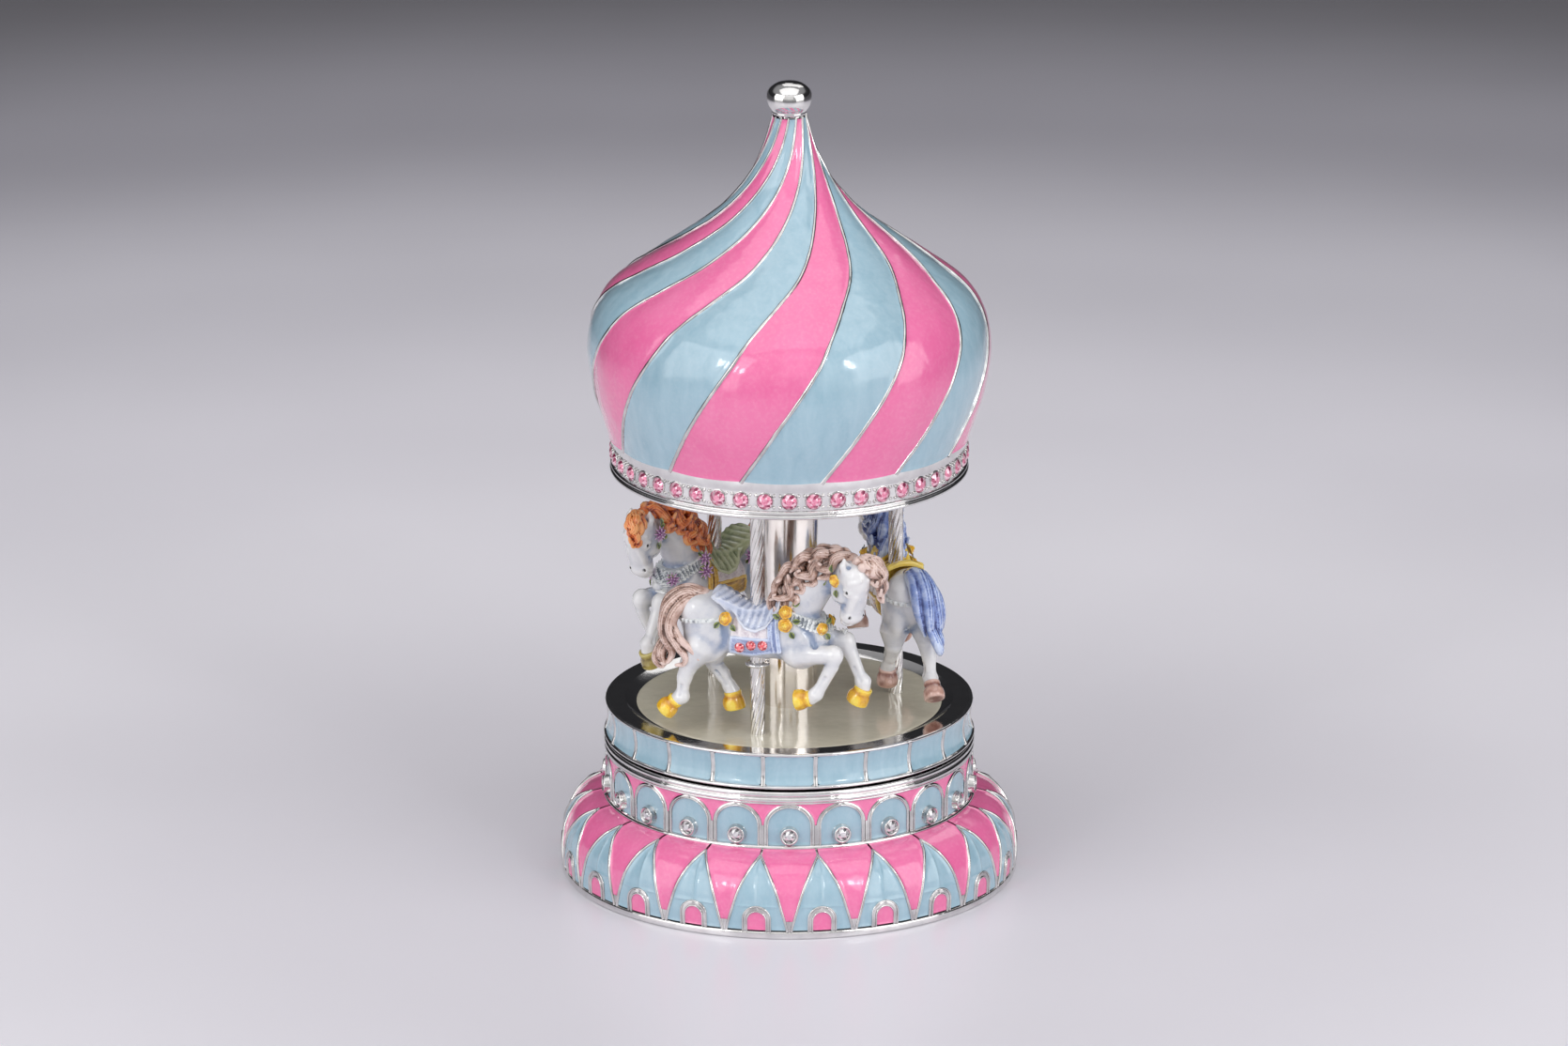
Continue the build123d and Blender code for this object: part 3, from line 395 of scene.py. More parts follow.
def silver_material(name, bright=(0.86, 0.85, 0.84), dull=(0.70, 0.69, 0.69), rough=(0.05, 0.14), wave=0.05):
    """Plated metal: bright, a little uneven, with faint polishing marks."""
    mat, links, shader = new_material(name)
    shader.inputs["Metallic"].default_value = 1.0
    cloud = noise(mat, 3.0, 4)
    links.new(blend_colours(mat, spread(mat, cloud, 0, 1), bright, dull), shader.inputs["Base Color"])
    links.new(spread(mat, noise(mat, 1.2, 5), *rough), shader.inputs["Roughness"])
    hammered = add_bump(mat, noise(mat, 1.6, 1), wave)
    links.new(add_bump(mat, noise(mat, 0.12, 2), 0.004, before=hammered), shader.inputs["Normal"])
    return mat


def enamel_material(name, light, deep, streak, size):
    """Glossy fired enamel with cloudy streaks of the given size and stretch, and a clear top coat."""
    mat, links, shader = new_material(name)
    cloud = spread(mat, noise(mat, size, 5, streak, 0.6), 0.0, 1.0)
    tint = blend_colours(mat, cloud, light, deep)
    fleck = spread(mat, noise(mat, 0.7, 6), 0.0, 0.25, 0.45, 0.8)
    paler = tuple(min(1.0, 0.75 * c + 0.25) for c in light)
    links.new(blend_colours(mat, fleck, tint, paler), shader.inputs["Base Color"])
    links.new(spread(mat, noise(mat, 2.0, 3), 0.10, 0.2), shader.inputs["Roughness"])
    shader.inputs["Coat Weight"].default_value = 0.9
    shader.inputs["Coat Roughness"].default_value = 0.10
    wavy = add_bump(mat, noise(mat, 4.2, 2), 0.10)
    links.new(wavy, shader.inputs["Normal"])
    links.new(wavy, shader.inputs["Coat Normal"])
    return mat


def stone_material(name, dark, middle, bright):
    """A foiled cut stone: each facet is painted its own tone, a painted reflection of light from the foil,
    under a clear polished face.
    """
    mat, links, shader = new_material(name)
    tone = attribute_with_noise(mat, "facet", 0.45, 3)
    colour = colour_ramp(mat.node_tree, tone, ((0.0, dark), (0.5, middle), (1.0, bright)))
    links.new(colour, shader.inputs["Base Color"])
    links.new(spread(mat, noise(mat, 0.3, 2), 0.04, 0.12), shader.inputs["Roughness"])
    shader.inputs["Metallic"].default_value = 0.35
    shader.inputs["Coat Weight"].default_value = 1.0
    shader.inputs["Coat Roughness"].default_value = 0.02
    return mat


SILVER = silver_material("silver_plate")
WIRE_SILVER = silver_material("silver_wire", (0.78, 0.77, 0.76), (0.50, 0.49, 0.49), (0.06, 0.16), 0.03)
MIRROR = silver_material("polished_rim", (0.80, 0.79, 0.78), (0.72, 0.71, 0.70), (0.03, 0.07), 0.012)
COLUMN_METAL = silver_material("column_metal", (0.93, 0.88, 0.83), (0.86, 0.80, 0.75), (0.10, 0.18), 0.01)
POLE_METAL = silver_material("pole_metal", (0.86, 0.84, 0.82), (0.62, 0.60, 0.59), (0.08, 0.20), 0.02)
PINK = enamel_material("pink_enamel", (0.91, 0.20, 0.43), (0.86, 0.155, 0.375), (1, 1, 0.5), 9.0)
BLUE = enamel_material("blue_enamel", (0.31, 0.49, 0.595), (0.385, 0.56, 0.66), (1.6, 1.6, 0.35), 4.0)
CREAM = enamel_material("cream_enamel", (0.74, 0.70, 0.57), (0.68, 0.64, 0.51), (1, 1, 1), 12.0)
# The stones' dark, middle and bright colours span their painted facet reflections.
CLEAR_STONE = stone_material("clear_stone", (0.10, 0.10, 0.11), (0.62, 0.62, 0.65), (1.0, 1.0, 1.0))
PINK_STONE = stone_material("pink_stone", (0.32, 0.03, 0.10), (0.86, 0.25, 0.40), (1.0, 0.72, 0.82))
RED_STONE = stone_material("red_stone", (0.36, 0.01, 0.03), (0.90, 0.13, 0.15), (1.0, 0.55, 0.55))


def painted_material(name, ridge, middle, groove, size, shade=(0.0, 1.0)):
    """Brushed enamel paint with painted light: lighter on ridges as a painted highlight and darker in
    hollows as painted shade; shade is the range of hollowness that the colours span."""
    mat, links, shader = new_material(name)
    level = spread(mat, attribute_with_noise(mat, "hollow", size, 4), 0.0, 1.0, *shade)
    # painted highlight on ridges, the paint's own colour between, painted shade in grooves
    colour = colour_ramp(mat.node_tree, level, ((0.0, ridge), (0.5, middle), (1.0, groove)))
    links.new(colour, shader.inputs["Base Color"])
    links.new(spread(mat, noise(mat, 1.1, 4), 0.12, 0.28), shader.inputs["Roughness"])
    shader.inputs["Coat Weight"].default_value = 1.0
    shader.inputs["Coat Roughness"].default_value = 0.05
    lumpy = add_bump(mat, noise(mat, 0.9, 3), 0.05)
    links.new(lumpy, shader.inputs["Normal"])
    links.new(lumpy, shader.inputs["Coat Normal"])
    return mat


HAIR_SHADE = (0.02, 0.78)
# Each paint's ridge colour is a painted highlight and its groove colour is painted shade in hollows.
PAINTS = {      # record slot, then the paint's ridge, middle and groove, size of its marks and shade
    "horse_white": ("horse_enamel", (0.82, 0.82, 0.83), (0.68, 0.69, 0.73), (0.26, 0.33, 0.48), 2.6,
                    (0.05, 1.2)),
    "brown_hair": ("mane_brown", (0.80, 0.61, 0.55), (0.45, 0.27, 0.21), (0.09, 0.035, 0.02), 1.6,
                   HAIR_SHADE),
    "orange_hair": ("mane_orange", (0.98, 0.42, 0.14), (0.86, 0.19, 0.03), (0.28, 0.03, 0.01), 1.6,
                    HAIR_SHADE),
    "blue_hair": ("mane_blue", (0.62, 0.72, 0.94), (0.20, 0.30, 0.68), (0.02, 0.04, 0.20), 1.6, HAIR_SHADE),
    "saddle_blue": ("saddle_blue", (0.74, 0.78, 0.88), (0.60, 0.66, 0.82), (0.30, 0.36, 0.53), 2.0),
    "saddle_green": ("saddle_green", (0.62, 0.67, 0.44), (0.45, 0.51, 0.29), (0.18, 0.23, 0.09), 2.0),
    "saddle_yellow": ("saddle_yellow", (0.92, 0.70, 0.14), (0.80, 0.50, 0.04), (0.28, 0.13, 0.01), 2.0),
    "cloth_pink": ("cloth_pink", (0.92, 0.87, 0.89), (0.86, 0.80, 0.83), (0.60, 0.50, 0.58), 2.2),
    "cloth_blue": ("saddle_blue", (0.70, 0.77, 0.92), (0.52, 0.61, 0.84), (0.26, 0.33, 0.58), 2.2),
    "cloth_gold": ("cloth_gold", (0.88, 0.62, 0.16), (0.74, 0.42, 0.05), (0.26, 0.11, 0.01), 2.2),
    "collar_white": ("trim_white", (0.88, 0.90, 0.90), (0.70, 0.74, 0.76), (0.16, 0.19, 0.23), 1.5),
    "rose_yellow": ("rose_yellow", (0.98, 0.72, 0.10), (0.92, 0.50, 0.03), (0.50, 0.13, 0.01), 1.0),
    "aster_purple": ("rose_purple", (0.82, 0.62, 0.82), (0.64, 0.38, 0.64), (0.26, 0.08, 0.26), 1.0),
    "leaf_green": ("leaf_green", (0.42, 0.46, 0.10), (0.16, 0.22, 0.04), (0.02, 0.04, 0.01), 0.8),
    "hoof_gold": ("hoof_gold", (0.97, 0.72, 0.08), (0.94, 0.56, 0.03), (0.62, 0.26, 0.01), 1.3),
    "hoof_olive": ("hoof_olive", (0.60, 0.50, 0.15), (0.46, 0.36, 0.08), (0.20, 0.14, 0.03), 1.3),
    "hoof_rose": ("hoof_rose", (0.76, 0.52, 0.46), (0.62, 0.38, 0.31), (0.30, 0.13, 0.10), 1.3),
    "eye_dark": ("eye_dark", (0.05, 0.04, 0.04), (0.02, 0.02, 0.02), (0.01, 0.01, 0.01), 1.0),
}
PAINTED = {name: (painted_material(name, *look), slot) for name, (slot, *look) in PAINTS.items()}


def horse_paints(hair, saddle, border, hooves, flowers, petals):
    """The paint of each part of a horse; flowers is the kind of its flowers."""
    return {
        "body": "horse_white", "hair": hair, "saddle": saddle, "hooves": hooves,
        "blanket": "cloth_pink", "border": border, "collar": "collar_white",
        flowers: petals, "leaves": "leaf_green", "dots": "eye_dark",
    }


HORSES = {
    "brown": horse_paints("brown_hair", "saddle_blue", "cloth_blue", "hoof_gold",
                          "roses", "rose_yellow"),
    "blue": horse_paints("blue_hair", "saddle_yellow", "cloth_gold", "hoof_rose",
                         "roses", "rose_yellow"),
    "orange": horse_paints("orange_hair", "saddle_green", "cloth_gold", "hoof_olive",
                           "asters", "aster_purple"),
}


# ---------------------------------------------------------------- camera, stage and light
VIEW_ELEVATION = 17.57                     # degrees
VIEW_DISTANCE = 2.0
VIEW_ASIDE, VIEW_RISE = -0.001, -0.0093    # of the point looked at, from the middle of the object, metres
LENS, SENSOR = 239.2, 36
FLOOR_REACH = 4.0
FLOOR_GAP = 0.00002                        # the floor lies just under the foot, so that they don't flicker
# The floor's colour is painted light: pale near the object, a painted pool of light about 0.2 m out, and
# painted shade that darkens it further away.
FLOOR_SHADE_RAMP = (     # distance from the object in metres, then the floor's colour
    (0.0, (0.81, 0.79, 0.85)), (0.10, (0.81, 0.79, 0.85)), (0.20, (0.90, 0.88, 0.94)),
    (0.30, (0.835, 0.815, 0.88)), (0.42, (0.68, 0.665, 0.725)), (0.55, (0.385, 0.375, 0.42)),
    (0.70, (0.165, 0.16, 0.177)),
)
LIGHTS = (         # name, place, size in metres and radiance
    ("left_box", (-1.15, -0.75, 0.55), (1.3, 1.3), 1.45),
    ("right_box", (1.15, -0.75, 0.50), (1.2, 1.2), 1.75),
    ("top_box", (0.0, -0.20, 1.25), (1.4, 1.1), 0.93),
    ("front_box", (-0.25, -1.9, 1.15), (2.3, 1.6), 0.36),
    ("back_box", (0.35, 1.5, 1.6), (1.4, 0.9), 0.9),
    ("left_glint", (-0.85, -1.25, 0.75), (0.14, 0.24), 10.0),
    ("right_glint", (0.80, -1.20, 0.85), (0.16, 0.28), 12.0),
)
SKY = (            # upright part of the direction, then the light from there
    (0.0, (0.10, 0.10, 0.11)), (0.07, (0.02, 0.02, 0.022)), (0.46, (0.03, 0.03, 0.033)),
    (0.60, (0.26, 0.26, 0.27)), (1.0, (0.40, 0.40, 0.41)),
)
FRONT_GLOW = 0.50      # extra light from straight in front, fading to nothing at the sides
LIGHT_COLOUR = (1.0, 0.99, 0.985)
LIGHT_AIM = (0, 0, 0.07)


def place_camera():
    """The camera at the photograph's viewing angle."""
    middle = (CAD_BOX[0][2] + CAD_BOX[1][2]) / 2
    target = Vector((VIEW_ASIDE, 0, middle + VIEW_RISE))
    up = radians(VIEW_ELEVATION)
    data = bpy.data.cameras.new("camera")
    data.lens = LENS
    data.sensor_width = SENSOR
    data.clip_start = 0.05
    camera = bpy.data.objects.new("camera", data)
    camera.location = target + VIEW_DISTANCE * Vector((0, -cos(up), sin(up)))
    camera.rotation_euler = (target - camera.location).to_track_quat("-Z", "Y").to_euler()
    bpy.context.collection.objects.link(camera)
    bpy.context.scene.camera = camera


def lay_floor():
    """A pale floor whose colour grows darker away from the object: painted shade in place of the light
    falling off.
    """
    floor = bpy.data.meshes.new("floor")
    corners = [(x * FLOOR_REACH, y * FLOOR_REACH, 0) for x, y in ((-1, -1), (1, -1), (1, 1), (-1, 1))]
    floor.from_pydata(corners, [], [(0, 1, 2, 3)])
    stage = bpy.data.objects.new("floor", floor)
    stage.location.z = -FLOOR_GAP
    bpy.context.collection.objects.link(stage)
    mat, links, shader = new_material("studio_floor")
    where = mat.node_tree.nodes.new("ShaderNodeTexCoord")
    distance = mat.node_tree.nodes.new("ShaderNodeVectorMath")
    distance.operation = "LENGTH"
    links.new(where.outputs["Object"], distance.inputs[0])
    painted_falloff = colour_ramp(mat.node_tree, distance.outputs["Value"], FLOOR_SHADE_RAMP)
    painted_falloff.node.color_ramp.interpolation = "EASE"
    links.new(painted_falloff, shader.inputs["Base Color"])
    links.new(spread(mat, noise(mat, 60.0, 3), 0.30, 0.36), shader.inputs["Roughness"])
    floor.materials.append(mat)


def light_sky():
    """Dim surroundings by height, with a glow from straight in front."""
    world = bpy.data.worlds.new("studio")
    bpy.context.scene.world = world
    world.use_nodes = True
    tree = world.node_tree
    background = tree.nodes["Background"]
    where = tree.nodes.new("ShaderNodeTexCoord")
    split = tree.nodes.new("ShaderNodeSeparateXYZ")
    tree.links.new(where.outputs["Generated"], split.inputs["Vector"])
    sky = colour_ramp(tree, split.outputs["Z"], SKY)
    glow = tree.nodes.new("ShaderNodeMapRange")
    for key, value in (("From Min", -1.0), ("From Max", 0.0), ("To Min", FRONT_GLOW), ("To Max", 0.0)):
        glow.inputs[key].default_value = value
    tree.links.new(split.outputs["Y"], glow.inputs["Value"])
    both = tree.nodes.new("ShaderNodeVectorMath")
    both.operation = "ADD"
    tree.links.new(sky, both.inputs[0])
    tree.links.new(glow.outputs["Result"], both.inputs[1])
    tree.links.new(both.outputs["Vector"], background.inputs["Color"])
    background.inputs["Strength"].default_value = 1.0


def hang_lights():
    """Area lights that all point at the object."""
    for name, place, size, radiance in LIGHTS:
        lamp = bpy.data.lights.new(name, "AREA")
        lamp.shape = "RECTANGLE"
        lamp.size, lamp.size_y = size
        lamp.energy = radiance * pi * size[0] * size[1]
        lamp.color = LIGHT_COLOUR
        obj = bpy.data.objects.new(name, lamp)
        obj.location = place
        obj.rotation_euler = (Vector(LIGHT_AIM) - Vector(place)).to_track_quat("-Z", "Y").to_euler()
        bpy.context.collection.objects.link(obj)
    bpy.context.scene.view_settings.view_transform = "Standard"


# ---------------------------------------------------------------- base
FOOT_LINE = smooth_line([
    (FOOT_R - 0.1, 1.5), (FOOT_R, 5.0), (43.4, 9.3), (41.3, 12.9), (38.3, 14.75), (WAIST_R + 0.1, 15.5),
], 0.1)
FOOT = Profile(FOOT_LINE)
WAIST = Profile([(WAIST_R, z) for z in np.arange(15.4, WAIST_TOP + 0.01, 0.1)])
ARCH_HALF = smooth_line([(1.4, 7.75), (3.3, 7.15), (5.4, 6.35), (8.5, 5.15), (10.8, 3.95), (12.8, 2.45),
                         (14.0, 1.15), (14.8, 0.0)], 0.1)
DOOR_TOP, DOOR_SPRING, DOOR_HALF = 5.5, 3.6, 2.45
PORCH_TOP, PORCH_SPRING, PORCH_HALF = 6.45, 4.0, 3.45


def half_arch(z, half, spring, top):
    """Half width at a height of an upright opening with a round head."""
    rise = np.clip((z - spring) / (top - spring), 0, 1)
    return half * np.sqrt(1 - rise**2)


def foot_height(t):
    """Height at an arc length up the foot."""
    return np.interp(t, FOOT.t, FOOT.line[:, 1])


def arch_half(t):
    """Half width of a pointed blue arch of the foot, in degrees."""
    return np.interp(foot_height(t), ARCH_HALF[:, 0], ARCH_HALF[:, 1])


def door_half(t):
    """Half width of a small pink door, in degrees."""
    return half_arch(foot_height(t), DOOR_HALF, DOOR_SPRING, DOOR_TOP)


def porch_half(t):
    """Half width of the silver frame round a door, in degrees."""
    return half_arch(foot_height(t), PORCH_HALF, PORCH_SPRING, PORCH_TOP)


def outline(half, side, t_low, t_high, packed=rounded_end):
    """One side of a symmetric shape as (angles, arc lengths)."""
    t = t_low + (t_high - t_low) * packed(np.linspace(0, 1, 60))
    return side * half(t), t


def build_foot():
    """The flared foot: silver walls with pink and blue enamel arches and small doors."""
    low_line, sill = FOOT.at_height(1.5), FOOT.at_height(1.75)
    arch_tip, door_top, porch_top = FOOT.at_height(14.8), FOOT.at_height(DOOR_TOP), FOOT.at_height(PORCH_TOP)
    inset = 0.34      # half a wire, in degrees at the foot

    blue, pink, wires, lands = Batch(), Batch(), Batch(), Batch()
    for side in (1, -1):
        leg = field(FOOT, lambda t: side * porch_half(t), lambda t: side * (arch_half(t) - inset),
                    sill, porch_top, 26, 12, packed=rounded_end)
        head = field(FOOT, lambda t: 0 * t, lambda t: side * np.maximum(arch_half(t) - inset, 0.02),
                     porch_top, arch_tip - 0.4, 34, 12)
        frame_land = field(FOOT, lambda t: side * door_half(t), lambda t: side * porch_half(t),
                           FOOT.at_height(1.55), porch_top, 34, 7, -0.04, -0.1, 0.05, rounded_end)
        low_land = field(FOOT, lambda t: side * arch_half(t), lambda t: 0 * t + side * PITCH / 2,
                         low_line, FOOT.at_height(3.6), 14, 5, -0.02, -0.05)
        for batch, points in ((blue, leg), (blue, head), (lands, frame_land), (lands, low_land)):
            batch.grid(outwards(points, side))
        edge_wire(wires, FOOT, *outline(arch_half, side, low_line, arch_tip, even), 0.55, 0.28)
        edge_wire(wires, FOOT, *outline(porch_half, side, low_line, porch_top), 0.34, 0.2)
        edge_wire(wires, FOOT, *outline(door_half, side, low_line, door_top), 0.34, 0.2)
    pink.grid(field(FOOT, lambda t: -door_half(t), door_half, sill, door_top, 26, 14, packed=rounded_end))
    pink.grid(field(FOOT, lambda t: arch_half(t) + inset, lambda t: PITCH - arch_half(t) - inset,
                    FOOT.at_height(2.7), FOOT.length - 0.35, 60, 22))

    wires.merge(lands)
    for batch, name, material, slot in ((blue, "foot_blue_enamel", BLUE, "blue_enamel"),
                                        (pink, "foot_pink_enamel", PINK, "pink_enamel"),
                                        (wires, "foot_wires", WIRE_SILVER, "silver_plate")):
        batch.spun(ARCADE, PITCH / 2).piece(name, material, "base", slot)


def build_waist():
    """The upright arcade above the foot: blue arches with a set stone, pink spandrels, silver ribs."""
    spring, blue_top, silver_top = 19.7, 23.55, 24.15
    half, outer = degrees(4.15 / WAIST_R), degrees(4.85 / WAIST_R)

    def blue_half(t):
        """Half width of the blue field, in degrees."""
        return half_arch(t + WAIST.line[0, 1], half, spring, blue_top)

    def rib_half(t):
        """Half width of the silver frame round it."""
        return half_arch(t + WAIST.line[0, 1], outer, spring, silver_top)

    def spandrel(t):
        """Where the pink between two arches starts."""
        return np.minimum(rib_half(t) + 0.1, PITCH / 2 - 0.05)

    foot, sill, pink_low = WAIST.at_height(15.6), WAIST.at_height(15.95), WAIST.at_height(19.0)
    top, rib_top = WAIST.at_height(blue_top), WAIST.at_height(silver_top)
    blue, pink, silver = Batch(), Batch(), Batch()
    blue.grid(field(WAIST, lambda t: -blue_half(t), blue_half, sill, top, 44, 22, packed=rounded_end))
    for side in (1, -1):
        band = field(WAIST, lambda t: side * blue_half(t), lambda t: side * rib_half(t),
                     foot, rib_top, 54, 8, -0.05, -0.12, 0.08, rounded_end)
        silver.grid(outwards(band, side))
        edge_wire(silver, WAIST, *outline(blue_half, side, foot, top), 0.3, 0.2)
    pink.grid(field(WAIST, spandrel, lambda t: PITCH - spandrel(t), pink_low, WAIST.at_height(24.35), 34, 22))
    silver.grid(field(WAIST, rib_half, lambda t: PITCH - rib_half(t), foot, pink_low + 0.9, 16, 7,
                      -0.02, 0, 0.12))
    blue.spun(ARCADE).piece("waist_blue_enamel", BLUE, "base", "blue_enamel")
    pink.spun(ARCADE).piece("waist_pink_enamel", PINK, "base", "pink_enamel")
    silver.spun(ARCADE).piece("waist_wires", WIRE_SILVER, "base", "silver_plate")


def build_base_casting():
    """The silver casting that carries the enamel: floors of the fields, foot band and top line."""
    under = 0.42
    foot_floor = FOOT.line - under * FOOT.normal
    line = np.vstack([
        [(FOOT_R - 2.2, 7.0), (FOOT_R - 2.2, 0.0), (FOOT_R - 0.45, 0.0)],
        arc_line((FOOT_R - 0.35, 0.35), 0.35, -90, 0),
        [(FOOT_R, 0.7), (FOOT_R, 1.15)],
        arc_line((FOOT_R - 0.3, 1.2), 0.28, 0, 80),
        foot_floor[foot_floor[:, 1] > 1.6][:-6],
        arc_line((WAIST_R + 0.12, 15.45), 0.5, -80, 60),
        [(WAIST_R - under, 15.95), (WAIST_R - under, WAIST_TOP - 0.35)],
        arc_line((WAIST_R - 0.15, WAIST_TOP - 0.05), 0.32, -80, 85),
        [(WAIST_R - 1.6, WAIST_TOP + 0.1)],
    ])
    lathe(line, ROUND).piece("base_casting", SILVER, "base", "silver_plate", ("base_shell",))


def build_top_cover():
    """The double bead under the turntable, and the deck inside it."""
    line = np.vstack([
        [(33.0, WAIST_TOP), (34.9, WAIST_TOP)],
        arc_line((35.2, 24.98), 0.6, -80, 62),
        arc_line((35.22, 26.14), 0.6, -62, 85),
        [(34.0, SEAT_TOP), (33.0, SEAT_TOP), (33.0, 26.0), (4.0, 26.0)],
    ])
    lathe(line, ROUND).piece("beaded_top_cover", SILVER, "base", "silver_plate", ("top_cover",))


# ---------------------------------------------------------------- turntable
def build_band():
    """The turntable ring: blue panels between ribs, a polished flat rim and a step to the floor."""
    face_r = BAND_LIP_R - 0.3
    face = Profile(smooth_line([(face_r, 27.75), (35.0, 29.2), (34.85, 30.8), (35.1, 32.6), (35.35, 33.8)],
                               0.1))
    under = 0.4
    floor_line = np.stack([face.line[:, 0] - under * face.normal[:, 0], face.line[:, 1]], axis=1)
    line = np.vstack([
        [(33.9, BAND_BOTTOM + 3.0), (33.9, BAND_BOTTOM), (face_r, BAND_BOTTOM)],
        arc_line((face_r, BAND_BOTTOM + 0.3), 0.3, -90, 90),
        floor_line[4:-4],
        arc_line((35.2, BAND_TOP - 0.3), 0.3, -60, 90),
        [(34.6, BAND_TOP)],
    ])
    lathe(line, ROUND).piece("band_casting", SILVER, "carousel", "silver_plate", ("turntable_band",))
    rim = np.vstack([
        [(34.62, BAND_TOP), (31.7, BAND_TOP)],
        arc_line((31.7, BAND_TOP - 0.2), 0.2, 90, 135),
        [(29.6, FLOOR_TOP - 0.02), (29.0, FLOOR_TOP - 0.1)],
    ])
    lathe(rim, ROUND).piece("band_polished_rim", MIRROR, "carousel", "silver_plate")

    low_t, high_t = face.at_height(27.95), face.at_height(33.62)
    half = PITCH / 2 - degrees(0.42 / BAND_LIP_R)

    def edge(t):
        """Half width of a panel with rounded corners, in degrees."""
        corner = 0.5
        near = np.minimum(t - low_t, high_t - t)
        rounding = corner - np.sqrt(np.maximum(corner**2 - (corner - np.minimum(near, corner)) ** 2, 0))
        return half - degrees(0.9 / 35) * rounding

    panel, ribs = Batch(), Batch()
    panel.grid(field(face, lambda t: -edge(t), edge, low_t, high_t, 22, 30))
    t = np.linspace(low_t - 0.2, high_t + 0.2, 20)
    edge_wire(ribs, face, 0 * t + PITCH / 2, t, 0.86, 0.22)
    panel.spun(ARCADE).piece("band_blue_enamel", BLUE, "carousel", "blue_enamel")
    ribs.spun(ARCADE).piece("band_ribs", WIRE_SILVER, "carousel", "silver_plate")


def build_floor_disc():
    """The cream enamelled floor, slightly dished at its rim."""
    line = np.vstack([
        [(COLUMN_R - 1.5, FLOOR_TOP)],
        np.stack([np.linspace(COLUMN_R, 29.0, 30), np.full(30, FLOOR_TOP)], axis=1),
        [(29.5, FLOOR_TOP - 0.05), (29.8, FLOOR_TOP - 0.25), (29.8, FLOOR_TOP - 1.1)],
    ])
    lathe(line, 192).piece("cream_floor", CREAM, "carousel", "cream_enamel", ("floor_disc",))


def build_column():
    """The polished centre column, from the floor to the ceiling."""
    line = np.vstack([
        [(COLUMN_R - 0.6, FLOOR_TOP), (COLUMN_R, FLOOR_TOP)],
        np.stack([np.full(24, COLUMN_R), np.linspace(FLOOR_TOP + 0.1, CEILING_BOTTOM - 0.1, 24)], axis=1),
        [(COLUMN_R - 0.6, CEILING_BOTTOM)],
    ])
    lathe(line, 128).piece("polished_column", COLUMN_METAL, "carousel", "silver_plate", ("centre_column",))


POLE_NODES = ("front_pole", "right_pole", "left_pole")
POLE_PLACES = [tuple((low(n)[:2] + high(n)[:2]) / 2) for n in POLE_NODES]
POLE_R = (high("front_pole")[0] - low("front_pole")[0]) / 2


def build_poles():
    """Twisted rods: fine ridges that climb steeply, between the floor and the ceiling."""
    ridges, turn_per_mm = 9, 0.235
    z = np.linspace(FLOOR_TOP - 0.2, CEILING_BOTTOM + 0.2, 300)[:, None]
    a = np.linspace(0, 2 * pi, 8 * ridges, endpoint=False)[None, :]
    b = a - turn_per_mm * z
    coarse = (1 - np.abs(np.sin(b * ridges / 2 + 0.25 * np.sin(3 * b)))) ** 1.6
    fine = (1 - np.abs(np.sin(b * ridges * 1.5))) ** 2
    r = POLE_R - 0.20 * coarse - 0.035 * fine
    for name, place in zip(POLE_NODES, POLE_PLACES):
        points = np.stack([place[0] + r * np.cos(a), place[1] + r * np.sin(a), z + 0 * a], axis=-1)
        rod = Batch()
        rod.grid(points, wrap=True)
        rod.piece("twisted_" + name, POLE_METAL, "carousel", "silver_plate", (name,), crease=0)

    collar = np.vstack([
        [(POLE_R - 0.2, COLLAR_TOP - 0.9), (2.0, COLLAR_TOP - 0.9)],
        arc_line((2.05, COLLAR_TOP - 0.55), 0.35, -90, 90),
        [(1.2, COLLAR_TOP)],
    ])
    rings = Batch()
    for place in POLE_PLACES:
        rings.merge(lathe(collar, 64).shifted((*place, 0)))
    rings.piece("collars_under_horses", SILVER, "carousel", "silver_plate", ("pole_collars",))


# ---------------------------------------------------------------- stones
FACETS = 8
STONE_RINGS = (     # height and radius over the stone's radius, points, and their shift in steps
    (0.40, 0.46, FACETS, 0.5), (0.24, 0.76, FACETS, 0.0),
    (0.0, 1.0, 2 * FACETS, 0.0), (-0.25, 0.94, 2 * FACETS, 0.0),
)


def cut_stone(radius):
    """A brilliant that faces +X, down to just under its girdle: vertices, faces and each facet's painted tone
    of reflected light.
    """
    verts = []
    for x, share, count, shift in STONE_RINGS:
        for i in range(count):
            a = 2 * pi * (i + shift) / count
            verts.append((x * radius, share * radius * cos(a), share * radius * sin(a)))
    crown, girdle = FACETS, 2 * FACETS      # first vertex of each ring; the table's is 0
    # each facet's tone is a painted reflection, from dark to bright
    faces, glint_tones = [list(range(FACETS))], [0.55]
    for i in range(FACETS):
        j, before = (i + 1) % FACETS, (i - 1) % FACETS
        a, b, c = girdle + 2 * i, girdle + 2 * i + 1, girdle + (2 * i + 2) % (2 * FACETS)
        faces += [[i, crown + i, before], [b, a, crown + i], [i, crown + j, b, crown + i],
                  [c, b, crown + j], [a, b, b + girdle, a + girdle], [b, c, c + girdle, b + girdle]]
        glint_tones += [0.95 if i % 2 else 0.15, 0.1 if i % 2 else 0.7, 0.8 - 0.45 * (i % 3),
                  0.9 if i % 3 else 0.3, 0.2, 0.2]
    return np.array(verts), faces, glint_tones


